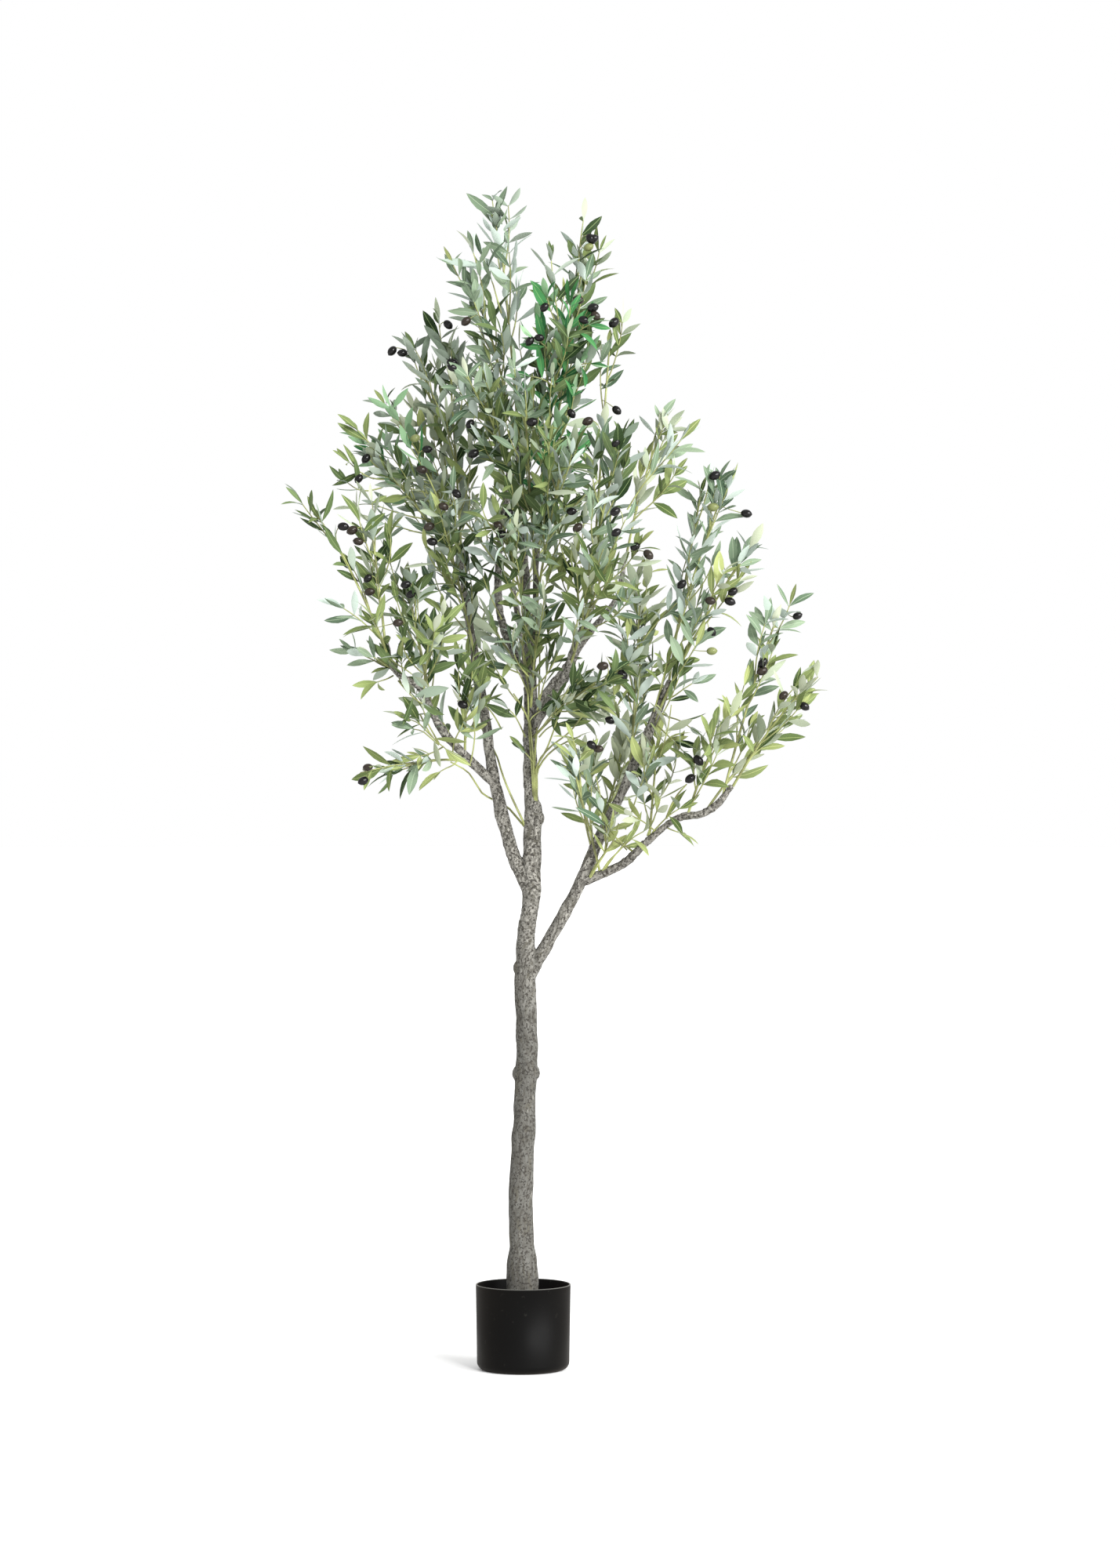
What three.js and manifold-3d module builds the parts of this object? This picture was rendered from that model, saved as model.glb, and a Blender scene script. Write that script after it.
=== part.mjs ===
// An artificial olive tree standing in a plain round pot, 2.13 m tall.
// Millimetres, +Z up, the viewer looks along +Y. The origin is the centre of the pot's underside.
//
// The trunk and boughs are tapered sweeps, each cut back from the limb that it grows out of.
// Each spray of foliage is one stem with shoots, leaves and olives fused to it. A spray keeps to
// the plume-shaped space round its own stem, and a leaf that would leave it is skipped.

import * as THREE from 'three';
import { mergeVertices } from 'three/addons/utils/BufferGeometryUtils.js';
import Module from 'manifold-3d';

const wasm = await Module();
wasm.setup();

// Pot: moulded plastic, a thin wall with a rounded foot, filled with a cast weight.
const POT_HEIGHT = 154;
const POT_RIM_RADIUS = 86;
const POT_FOOT_RADIUS = 83.8;
const POT_FOOT_ROUNDING = 14;
const POT_WALL = 2.6;
const POT_RIM_CHAMFER = 0.8;
const POT_FACETS = 32;
const FILL_DEPTH_BELOW_RIM = 30;

// Clearance between neighbouring solids, and the least gap between foliage of two sprays.
const CLEARANCE = 0.3;
const FOLIAGE_GAP = 0.5;

const FILL_TOP = POT_HEIGHT - FILL_DEPTH_BELOW_RIM;
const TRUNK_FOOT = FILL_TOP + CLEARANCE;

// Trunk: its route, and rows of height and radius. It leans right and is knobbly where boughs were cut.
const TRUNK_ROUTE = [[-1, 0, 100], [-2, 0, 207], [-4, 2, 306], [2, 6, 448], [7, 2, 583], [4, -2, 697],
  [6, -2, 789], [14, 0, 846], [16, 2, 931], [18, 0, 1002], [19, 0, 1030]];
const TRUNK_RADII = [[100, 29.5], [155, 27.8], [195, 26.2], [222, 22.6], [306, 20.6], [430, 20.1],
  [583, 18.8], [715, 17.8], [735, 16.6], [790, 15], [850, 15.6], [930, 16.4], [960, 15], [1012, 15.2],
  [1023, 13], [1030, 8]];
const TRUNK_FACETS = 12;
const TRUNK_STEPS = 26;

// Knots on the trunk: height, heading in degrees seen from above (0 is +X), radius and stand-out.
const TRUNK_KNOTS = [
  { height: 536, heading: 8, radius: 12, proud: 5 },
  { height: 534, heading: 176, radius: 11, proud: 5 },
  { height: 727, heading: 185, radius: 10, proud: 4.5 },
  { height: 915, heading: -120, radius: 9, proud: 3 },
  { height: 998, heading: -14, radius: 13, proud: 4.5 },
  { height: 640, heading: 90, radius: 11, proud: 4 },
];
const KNOT_FACETS = 8;
const KNOT_RINGS = 5;
const KNOT_TALLNESS = 1.25;

// Limbs: the parent, the route from inside the parent to the tip, and rows of fraction along it and radius.
const LIMBS = {
  leader: {
    parent: 'trunk',
    route: [[16, 0, 1000], [13, 3, 1059], [12, 6, 1144], [13, 4, 1247], [9, 6, 1322], [-1, 14, 1531],
      [-5, 10, 1628], [-8, 4, 1705]],
    radii: [[0, 11.4], [0.36, 10.4], [0.46, 7], [0.7, 6.4], [1, 4.5]],
  },
  leader_fork: {
    parent: 'leader',
    route: [[15, 0, 1278], [21, -8, 1334], [23, -22, 1441], [23, -30, 1497]],
    radii: [[0, 6.8], [1, 5]],
  },
  bough_right: {
    parent: 'trunk',
    route: [[10, 0, 712], [32, -4, 751], [86, -20, 847], [133, -34, 949], [197, -55, 1087],
      [265, -80, 1244]],
    radii: [[0, 11], [0.12, 9.8], [0.25, 9.2], [0.42, 8.6], [0.55, 7.9], [1, 6.4]],
  },
  bough_right_side: {
    parent: 'bough_right',
    route: [[112, -28, 884], [136, -38, 895], [182, -58, 917], [228, -80, 961], [278, -100, 999],
      [323, -116, 1007], [351, -124, 1028], [372, -130, 1056]],
    radii: [[0, 8], [0.15, 6.6], [1, 4.6]],
  },
  bough_left: {
    parent: 'trunk',
    route: [[12, 0, 868], [-15, 4, 923], [-51, 22, 1059], [-74, 42, 1206], [-107, 74, 1406],
      [-116, 86, 1497]],
    radii: [[0, 12.5], [0.12, 11.2], [0.27, 10.6], [0.36, 9.4], [0.42, 8.5], [0.53, 7.7], [0.8, 6.5],
      [1, 5.6]],
  },
  bough_left_side: {
    parent: 'bough_left',
    route: [[-51, 22, 1059], [-93, 2, 1099], [-145, -28, 1155], [-187, -60, 1232], [-230, -80, 1263],
      [-248, -94, 1318]],
    radii: [[0, 8.4], [0.2, 7.2], [0.45, 5.9], [0.8, 5], [1, 4.4]],
  },
  bough_upper_right: {
    parent: 'leader',
    route: [[16, 0, 1158], [42, -22, 1201], [80, -54, 1261], [93, -72, 1302], [114, -94, 1351],
      [125, -106, 1384]],
    radii: [[0, 9], [0.15, 8], [0.6, 7.8], [1, 6.4]],
  },
  bough_back_left: {
    parent: 'leader',
    route: [[11, 4, 1242], [-14, 34, 1292], [-41, 66, 1364], [-47, 92, 1454], [-37, 110, 1542],
      [-25, 124, 1637]],
    radii: [[0, 7], [0.15, 6.4], [1, 5.5]],
  },
  bough_back_right: {
    parent: 'leader',
    route: [[15, 4, 1186], [46, 48, 1231], [84, 92, 1282], [129, 132, 1348], [170, 158, 1400],
      [188, 176, 1478]],
    radii: [[0, 7.4], [0.15, 6.4], [1, 3.8]],
  },
  bough_back: {
    parent: 'trunk',
    route: [[18, 4, 960], [15, 44, 1045], [14, 96, 1145], [8, 150, 1247], [-8, 196, 1351],
      [-23, 226, 1432]],
    radii: [[0, 8.6], [0.12, 7.4], [1, 4]],
  },
};
const LIMB_FACETS = 8;
const LIMB_STEP = 48;

// Sprays of foliage on each limb: where the stem starts as a fraction of the limb, the place of its tip,
// how far the stem bows upwards, and how far its shoots and leaves reach from it.
const SPRAYS = {
  bough_left_side: {
    left_low: { at: 0.19, tip: [-270, -75, 1075], bow: 25, reach: 34 },
    left_between: { at: 0.24, tip: [-100, -60, 1290], bow: 0, reach: 52 },
    left_inner: { at: 0.31, tip: [-185, -20, 1215], bow: 20, reach: 46 },
    left_side_mid: { at: 0.53, tip: [-220, -20, 1450], bow: 25, reach: 62 },
    left_side_front: { at: 0.64, tip: [-160, -170, 1360], bow: 10, reach: 72 },
    left_side_low: { at: 0.76, tip: [-295, -40, 1275], bow: 25, reach: 44 },
    left_side_out: { at: 0.88, tip: [-285, -190, 1370], bow: 30, reach: 36 },
    left_tip_out: { at: 0.94, tip: [-400, -140, 1580], bow: 60, reach: 30 },
    left_tip: { at: 1, tip: [-280, -60, 1560], bow: 40, reach: 48 },
  },
  bough_left: {
    left_mid: { at: 0.69, tip: [-150, -120, 1560], bow: 20, reach: 60 },
    left_high_out: { at: 0.9, tip: [-315, 10, 1695], bow: 60, reach: 52 },
    left_top_inner: { at: 0.94, tip: [-140, 40, 1900], bow: 20, reach: 54 },
    left_high: { at: 0.97, tip: [-235, 70, 1745], bow: 50, reach: 60 },
    left_top: { at: 1, tip: [-200, 110, 1860], bow: 80, reach: 42 },
  },
  leader: {
    dark_front: { at: 0.2, tip: [170, -200, 1265], bow: 20, reach: 50 },
    centre_low: { at: 0.27, tip: [30, -120, 1385], bow: 20, reach: 62 },
    centre_left: { at: 0.5, tip: [-45, -200, 1555], bow: 20, reach: 66 },
    upper_left: { at: 0.76, tip: [-90, -130, 1790], bow: 40, reach: 64 },
    top_left: { at: 0.94, tip: [-105, -50, 2005], bow: 60, reach: 46 },
    top: { at: 1, tip: [-50, 0, 2130], bow: 30, reach: 52 },
  },
  leader_fork: {
    upper_front: { at: 0.5, tip: [80, -250, 1665], bow: 20, reach: 64 },
    upper_mid: { at: 0.72, tip: [0, -150, 1780], bow: 20, reach: 60 },
    bright: { at: 0.86, tip: [70, -110, 1910], bow: 20, reach: 64 },
    top_right: { at: 1, tip: [120, -20, 2060], bow: 30, reach: 48 },
  },
  bough_upper_right: {
    right_front: { at: 0.54, tip: [170, -270, 1485], bow: 30, reach: 62 },
    right_inner: { at: 0.78, tip: [90, -60, 1515], bow: 10, reach: 60 },
    right_high: { at: 0.82, tip: [175, -170, 1695], bow: 20, reach: 56 },
    right_top: { at: 1, tip: [160, -80, 1900], bow: 40, reach: 38 },
  },
  bough_right: {
    right_low_in: { at: 0.44, tip: [110, 10, 1135], bow: 10, reach: 50 },
    right_low_rear: { at: 0.47, tip: [200, 70, 1170], bow: 10, reach: 58 },
    right_pale: { at: 0.71, tip: [215, 20, 1430], bow: 10, reach: 58 },
    right_wide: { at: 0.82, tip: [420, -180, 1495], bow: 60, reach: 38 },
    right_far: { at: 0.9, tip: [370, -120, 1610], bow: 50, reach: 38 },
    right_spire: { at: 1, tip: [330, -60, 1635], bow: 20, reach: 30 },
  },
  bough_right_side: {
    side_foot: { at: 0.1, tip: [80, -110, 1130], bow: 5, reach: 38 },
    side_inner: { at: 0.45, tip: [245, -80, 1170], bow: 10, reach: 58 },
    side_mid: { at: 0.7, tip: [360, -190, 1175], bow: 20, reach: 46 },
    side_tip_low: { at: 0.8, tip: [470, -70, 1160], bow: 30, reach: 32 },
    side_tip_out: { at: 1, tip: [530, -170, 1260], bow: 30, reach: 38 },
    side_tip: { at: 0.93, tip: [470, -110, 1400], bow: 40, reach: 38 },
  },
  bough_back_right: {
    right_crest: { at: 1, tip: [285, 140, 1765], bow: 90, reach: 30 },
  },
  bough_back_left: {
    back_left_out: { at: 0.58, tip: [-225, 270, 1640], bow: 50, reach: 62 },
    back_left: { at: 1, tip: [-100, 200, 1875], bow: 30, reach: 62 },
  },
  bough_back: {
    back_low_right: { at: 0.48, tip: [165, 220, 1200], bow: 40, reach: 60 },
    back_low_left: { at: 0.61, tip: [-95, 240, 1375], bow: 40, reach: 62 },
    back_right: { at: 0.95, tip: [145, 335, 1640], bow: 40, reach: 64 },
    back_mid: { at: 1, tip: [-5, 290, 1735], bow: 20, reach: 68 },
  },
};

// The growing rule of a spray. Fractions run along the stem, from 0 at the limb to 1 at the tip.
const FIRST_SEED = 2300;
const GOLDEN_ANGLE = Math.PI * (3 - Math.sqrt(5));
const TWIG_FACETS = 3;

// The stem is set off the limb's middle towards its tip, by a share of the limb's radius.
const STEM_SEAT = 0.6;
const STEM_RADII = [2.4, 1.3];
const STEM_STEP = 80;
const STEM_BEND = 0.45;

// The plume round a stem: narrow at its foot, full from FULL_FROM on, and narrower again at its tip.
const PLUME_STATIONS = 18;
const PLUME_FOOT = 0.45;
const PLUME_FULL_FROM = 0.45;
const PLUME_NARROWS_FROM = 0.8;
const PLUME_NARROWING = 0.3;

// Side shoots, spaced along the stem and turned by the golden angle. They ease out to a share of the reach.
const SHOOT_RADII = [1.4, 1];
const SHOOT_STEPS = 1;
const FIRST_SHOOT = 0.15;
const LAST_SHOOT = 0.85;
const SHOOT_SPACING = 90;
const SHOOT_JITTER = 0.6;
const SHOOT_LENGTH = 75;
const SHOOT_OFFSET = 0.55;
const SHOOT_PAIR = 0.6;
const SHOOT_END = 0.98;

// Pairs of leaves down the stem, and the leaf at its end.
const FIRST_PAIR = 0.15;
const LAST_PAIR = 0.93;
const PAIR_SPACING = 25;
const STEM_END = 0.99;

// Leaves: lengths in mm, splay from the twig in degrees, and how far out of the plume a point may stray.
const LEAF_LENGTH_PER_REACH = 1.7;
const LEAF_LENGTHS = [72, 98];
const LEAF_LENGTH_SPREAD = 0.15;
const LEAF_WIDTH_PER_LENGTH = 0.29;
const LEAF_THICKNESS = 1.6;
const LEAF_SPLAY = 38;
const LEAF_WIDEST = 0.45;
const LEAF_STRAY = 1.7;

// Olives hang from every second shoot, seated a little way into the twig.
const OLIVE_LENGTH = 20;
const OLIVE_DIAMETER = 15;
const OLIVE_SEAT = 0.8;
const OLIVE_SPACING = 2;
const OLIVE_OUT = 0.8;
const OLIVE_DROP = 0.6;

// Colours and finishes.
const FINISHES = {
  pot: { color: 0x212121, roughness: 0.45 },
  fill: { color: 0x2b2723, roughness: 0.95 },
  bark: { color: 0x7d7870, roughness: 0.9 },
  leaf: { color: 0x5c7a5e, roughness: 0.6 },
};

const UP = new THREE.Vector3(0, 0, 1);
const tree = new THREE.Group();

function vector(place) {
  return new THREE.Vector3(...place);
}

function addNode(name, solid, finish) {
  const mesh = solid.getMesh();
  const geometry = new THREE.BufferGeometry();
  geometry.setAttribute('position', new THREE.BufferAttribute(mesh.vertProperties, 3));
  geometry.setIndex(new THREE.BufferAttribute(mesh.triVerts, 1));
  const material = new THREE.MeshStandardMaterial({ ...FINISHES[finish], metalness: 0, flatShading: true });
  const node = new THREE.Mesh(geometry, material);
  node.name = name;
  tree.add(node);
}

function solidOf(geometry) {
  geometry.deleteAttribute('normal');
  geometry.deleteAttribute('uv');
  const welded = mergeVertices(geometry, 1e-4);
  return new wasm.Manifold(new wasm.Mesh({
    numProp: 3,
    vertProperties: new Float32Array(welded.attributes.position.array),
    triVerts: new Uint32Array(welded.index.array),
  }));
}

// The largest body of a solid: loose scraps and sealed hollows are dropped.
function largestBody(solid) {
  return solid.decompose().reduce((a, b) => (b.volume() > a.volume() ? b : a));
}

// A value read off a table of [place, value] rows.
function between(table, place) {
  const next = table.findIndex(([end]) => place <= end);
  if (next < 1) {
    return table.at(next)[1];
  }
  const [low, high] = [table[next - 1], table[next]];
  return THREE.MathUtils.mapLinear(place, low[0], high[0], low[1], high[1]);
}

// A closed tube along a curve, thicker and longer by grown all round. radiusAt gives its radius from the
// fraction along the curve and the point there.
function sweep(curve, radiusAt, facets, steps, grown = 0) {
  const tube = new THREE.CylinderGeometry(1, 1, 1, facets, steps);
  const frames = curve.computeFrenetFrames(steps, false);
  const place = tube.attributes.position;
  for (let i = 0; i < place.count; i++) {
    const step = Math.round((place.getY(i) + 0.5) * steps);
    const centre = curve.getPointAt(step / steps);
    const radius = radiusAt(step / steps, centre) + grown;
    const overrun = step === steps ? grown : (step === 0 ? -grown : 0);
    centre.addScaledVector(frames.tangents[step], overrun);
    centre.addScaledVector(frames.normals[step], place.getX(i) * radius);
    centre.addScaledVector(frames.binormals[step], -place.getZ(i) * radius);
    place.setXYZ(i, centre.x, centre.y, centre.z);
  }
  return solidOf(tube);
}

function potSolid() {
  const profile = new THREE.Path();
  const footCentre = POT_FOOT_RADIUS - POT_FOOT_ROUNDING;
  profile.moveTo(0, 0);
  profile.lineTo(footCentre, 0);
  profile.absarc(footCentre, POT_FOOT_ROUNDING, POT_FOOT_ROUNDING, -Math.PI / 2, 0);
  profile.lineTo(POT_RIM_RADIUS, POT_HEIGHT - POT_RIM_CHAMFER);
  profile.lineTo(POT_RIM_RADIUS - POT_RIM_CHAMFER, POT_HEIGHT);
  profile.lineTo(POT_RIM_RADIUS - POT_WALL + POT_RIM_CHAMFER, POT_HEIGHT);
  profile.lineTo(POT_RIM_RADIUS - POT_WALL, POT_HEIGHT - POT_RIM_CHAMFER);
  profile.lineTo(POT_FOOT_RADIUS - POT_WALL, POT_FOOT_ROUNDING);
  profile.lineTo(footCentre, POT_WALL);
  profile.lineTo(0, POT_WALL);
  return lathe(profile.getPoints(2));
}

function fillSolid() {
  const wallAt = (height) => THREE.MathUtils.mapLinear(
    height, POT_FOOT_ROUNDING, POT_HEIGHT, POT_FOOT_RADIUS, POT_RIM_RADIUS) - POT_WALL - CLEARANCE;
  const bottom = POT_WALL + CLEARANCE;
  const corner = POT_FOOT_ROUNDING + CLEARANCE;
  return lathe([
    new THREE.Vector2(0, bottom),
    new THREE.Vector2(POT_FOOT_RADIUS - POT_FOOT_ROUNDING - CLEARANCE, bottom),
    new THREE.Vector2(wallAt(corner), corner),
    new THREE.Vector2(wallAt(FILL_TOP), FILL_TOP),
    new THREE.Vector2(0, FILL_TOP),
  ]);
}

// A lathed solid standing on the ground: the lathe turns about Y, so it is tipped up to turn about Z.
function lathe(points) {
  const turned = new THREE.LatheGeometry(points, POT_FACETS);
  turned.rotateX(Math.PI / 2);
  return solidOf(turned);
}

const trunkCurve = new THREE.CatmullRomCurve3(TRUNK_ROUTE.map(vector));
const limbCurves = { trunk: trunkCurve };

function trunkSolid(grown) {
  const radiusAt = (t, centre) => between(TRUNK_RADII, centre.z);
  let trunk = sweep(trunkCurve, radiusAt, TRUNK_FACETS, TRUNK_STEPS, grown);
  for (const knot of TRUNK_KNOTS) {
    trunk = trunk.add(knotSolid(knot, grown));
  }
  return trunk.trimByPlane([0, 0, 1], TRUNK_FOOT);
}

function knotSolid({ height, heading, radius, proud }, grown) {
  const centre = trunkCurve.getPointAt(trunkFractionAt(height));
  const turn = THREE.MathUtils.degToRad(heading);
  const inwards = between(TRUNK_RADII, height) + proud - radius;
  const knot = new THREE.SphereGeometry(radius + grown, KNOT_FACETS, KNOT_RINGS);
  knot.scale(1, 1, KNOT_TALLNESS);
  knot.translate(centre.x + Math.cos(turn) * inwards, centre.y + Math.sin(turn) * inwards, height);
  return solidOf(knot);
}

function trunkFractionAt(height) {
  let [low, high] = [0, 1];
  while (high - low > 1e-4) {
    const middle = (low + high) / 2;
    if (trunkCurve.getPointAt(middle).z < height) {
      low = middle;
    } else {
      high = middle;
    }
  }
  return low;
}

function limbSolid(name, grown) {
  if (name === 'trunk') {
    return trunkSolid(grown);
  }
  const curve = limbCurves[name];
  const steps = Math.max(4, Math.round(curve.getLength() / LIMB_STEP));
  return sweep(curve, (t) => between(LIMBS[name].radii, t), LIMB_FACETS, steps, grown);
}

// Numbers between 0 and 1 that are the same on every run.
function seeded(seed) {
  let state = seed;
  return () => {
    state = (state * 1664525 + 1013904223) % 4294967296;
    return state / 4294967296;
  };
}

// The plume-shaped space of a spray: how wide it is, as a share of its reach, at a fraction of its stem.
function plume(t) {
  const filled = THREE.MathUtils.smoothstep(t, 0, PLUME_FULL_FROM);
  const narrowed = THREE.MathUtils.smoothstep(t, PLUME_NARROWS_FROM, 1);
  return PLUME_FOOT + (1 - PLUME_FOOT) * filled - PLUME_NARROWING * narrowed;
}

// How far out of a spray's plume a point is: under 1 inside it.
function outness(point, spray) {
  let nearest = Infinity;
  for (const { place, width } of spray.stations) {
    nearest = Math.min(nearest, point.distanceTo(place) / width);
  }
  return nearest;
}

function inOwnSpace(point, spray, limit = 1) {
  const own = outness(point, spray);
  return own < limit && sprays.every((other) => other === spray || outness(point, other) > own);
}

// The two directions square to a stem's own direction.
function sidesOf(direction) {
  const across = new THREE.Vector3().crossVectors(direction, UP);
  if (across.lengthSq() < 1e-3) {
    across.set(1, 0, 0);
  }
  across.normalize();
  return [across, new THREE.Vector3().crossVectors(across, direction)];
}

function around(direction, angle) {
  const [across, over] = sidesOf(direction);
  return across.multiplyScalar(Math.cos(angle)).addScaledVector(over, Math.sin(angle));
}

// A twig's centre line: straight runs between points, so that what grows on it starts inside its solid.
class Chain extends THREE.Curve {
  constructor(points) {
    super();
    this.points = points;
  }

  getPoint(t, target = new THREE.Vector3()) {
    const runs = this.points.length - 1;
    const run = Math.min(Math.floor(t * runs), runs - 1);
    return target.lerpVectors(this.points[run], this.points[run + 1], t * runs - run);
  }
}

// A shoot leaves the stem at a fraction of it and runs beside it, easing outwards to its offset.
function shootOf({ stem }, start, angle, offset) {
  const out = around(stem.getTangentAt(start), angle);
  const points = [];
  for (let i = 0; i <= SHOOT_STEPS; i++) {
    const t = i / SHOOT_STEPS;
    const along = Math.min(1, start + t * SHOOT_LENGTH / stem.getLength());
    const eased = offset * (1 - (1 - t) * (1 - t));
    points.push(stem.getPointAt(along).addScaledVector(out, eased));
  }
  return new Chain(points);
}

// One leaf: a thin eight-faced blade from its stalk end to its point, widest near the middle.
function leafSolid(base, direction, faceNormal, length) {
  const blade = new THREE.OctahedronGeometry(1);
  const across = new THREE.Vector3().crossVectors(faceNormal, direction).normalize();
  const over = new THREE.Vector3().crossVectors(direction, across);
  const place = blade.attributes.position;
  for (let i = 0; i < place.count; i++) {
    const end = place.getX(i);
    const along = Math.abs(end) > 0.5 ? (end > 0 ? length : 0) : LEAF_WIDEST * length;
    const point = base.clone().addScaledVector(direction, along);
    point.addScaledVector(across, place.getY(i) * length * LEAF_WIDTH_PER_LENGTH / 2);
    point.addScaledVector(over, place.getZ(i) * LEAF_THICKNESS / 2);
    place.setXYZ(i, point.x, point.y, point.z);
  }
  return solidOf(blade);
}

function oliveSolid(base, direction) {
  const olive = new THREE.IcosahedronGeometry(1, 0);
  olive.scale(OLIVE_DIAMETER / 2, OLIVE_DIAMETER / 2, OLIVE_LENGTH / 2);
  olive.applyQuaternion(new THREE.Quaternion().setFromUnitVectors(UP, direction));
  const centre = base.clone().addScaledVector(direction, OLIVE_LENGTH / 2 * OLIVE_SEAT);
  olive.translate(centre.x, centre.y, centre.z);
  return solidOf(olive);
}

// Every piece grown so far, with the spray or limb that owns it.
const grownPieces = [];

function boxesMeet(a, b) {
  const meetsAlong = (i) => a.min[i] - FOLIAGE_GAP < b.max[i] && b.min[i] - FOLIAGE_GAP < a.max[i];
  return [0, 1, 2].every(meetsAlong);
}

// A piece is clear when it keeps the gap to every other limb and spray, and touches nothing
// of its own spray but what it grows on.
function isClear(solid, spray, grownOn) {
  const box = solid.boundingBox();
  return grownPieces.every((piece) => {
    if (grownOn.includes(piece.solid) || !boxesMeet(box, piece.box)) {
      return true;
    }
    return solid.minGap(piece.solid, 2 * FOLIAGE_GAP) >= (piece.owner === spray ? CLEARANCE : FOLIAGE_GAP);
  });
}

function grow(solid, spray) {
  spray.pieces.push(solid);
  grownPieces.push({ solid, owner: spray, box: solid.boundingBox() });
  return solid;
}

function growLeaf(spray, grownOn, base, direction, faceNormal) {
  const length = spray.leafLength * (1 + LEAF_LENGTH_SPREAD * (2 * spray.random() - 1));
  const tip = base.clone().addScaledVector(direction, length);
  const middle = base.clone().addScaledVector(direction, length / 2);
  if (!inOwnSpace(tip, spray, LEAF_STRAY) || !inOwnSpace(middle, spray)) {
    return [];
  }
  const leaf = leafSolid(base, direction, faceNormal, length);
  return isClear(leaf, spray, grownOn) ? [grow(leaf, spray)] : [];
}

// A direction turned by an angle towards another that is square to it.
function lean(direction, out, angle) {
  return direction.clone().multiplyScalar(Math.cos(angle)).addScaledVector(out, Math.sin(angle));
}

// Two leaves on opposite sides of a twig, turned about it by an angle.
function growPair(spray, twig, base, direction, angle) {
  const splay = THREE.MathUtils.degToRad(LEAF_SPLAY);
  let grownOn = [twig];
  for (const side of [0, Math.PI]) {
    const out = around(direction, angle + side);
    const leafDirection = lean(direction, out, splay);
    const faceNormal = lean(direction, out, splay - Math.PI / 2);
    grownOn = [...grownOn, ...growLeaf(spray, grownOn, base, leafDirection, faceNormal)];
  }
}

function growOlive(spray, twig, base, direction, angle) {
  const hang = around(direction, angle).multiplyScalar(OLIVE_OUT);
  hang.addScaledVector(UP, -OLIVE_DROP).normalize();
  const olive = oliveSolid(base, hang);
  if (isClear(olive, spray, [twig])) {
    grow(olive, spray);
  }
}

function growShoots(spray) {
  const { stem, stemSolid, random } = spray;
  const length = stem.getLength();
  const count = Math.max(1, Math.round(length * (LAST_SHOOT - FIRST_SHOOT) / SHOOT_SPACING));
  const firstAngle = random() * 2 * Math.PI;
  for (let i = 0; i < count; i++) {
    const start = THREE.MathUtils.lerp(FIRST_SHOOT, LAST_SHOOT, (i + SHOOT_JITTER * random()) / count);
    const angle = firstAngle + i * GOLDEN_ANGLE;
    const shoot = shootOf(spray, start, angle, spray.reach * SHOOT_OFFSET * plume(start));
    const twig = sweep(shoot, (t) => THREE.MathUtils.lerp(...SHOOT_RADII, t), TWIG_FACETS, SHOOT_STEPS);
    if (!inOwnSpace(shoot.getPoint(1), spray) || !isClear(twig, spray, [stemSolid])) {
      continue;
    }
    grow(twig, spray);
    const direction = shoot.getTangentAt(1);
    const turn = random() * Math.PI;
    growLeaf(spray, [twig], shoot.getPointAt(SHOOT_END), direction, around(direction, turn));
    growPair(spray, twig, shoot.getPointAt(SHOOT_PAIR), direction, turn);
    if (i % OLIVE_SPACING === 0) {
      growOlive(spray, twig, shoot.getPointAt(SHOOT_PAIR), direction, turn + Math.PI / 2);
    }
  }
}

// The stem's own leaves: one at its end, and pairs down it, each a quarter turn from the last.
function growStemLeaves(spray) {
  const { stem, stemSolid, random } = spray;
  const direction = stem.getTangentAt(1);
  const turn = random() * Math.PI;
  growLeaf(spray, [stemSolid], stem.getPointAt(STEM_END), direction, around(direction, turn));
  const count = Math.max(1, Math.round(stem.getLength() * (LAST_PAIR - FIRST_PAIR) / PAIR_SPACING));
  for (let i = 0; i < count; i++) {
    const at = THREE.MathUtils.lerp(LAST_PAIR, FIRST_PAIR, i / count);
    growPair(spray, stemSolid, stem.getPointAt(at), stem.getTangentAt(at), turn + i * Math.PI / 2);
  }
}

addNode('pot', potSolid(), 'pot');
addNode('pot_fill', fillSolid(), 'fill');

const limbs = { trunk: trunkSolid(0) };
for (const [name, { parent, route }] of Object.entries(LIMBS)) {
  limbCurves[name] = new THREE.CatmullRomCurve3(route.map(vector));
  limbs[name] = largestBody(limbSolid(name, 0).subtract(limbSolid(parent, CLEARANCE)));
}
for (const [name, solid] of Object.entries(limbs)) {
  addNode(name, solid, 'bark');
  grownPieces.push({ solid, owner: name, box: solid.boundingBox() });
}

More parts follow.
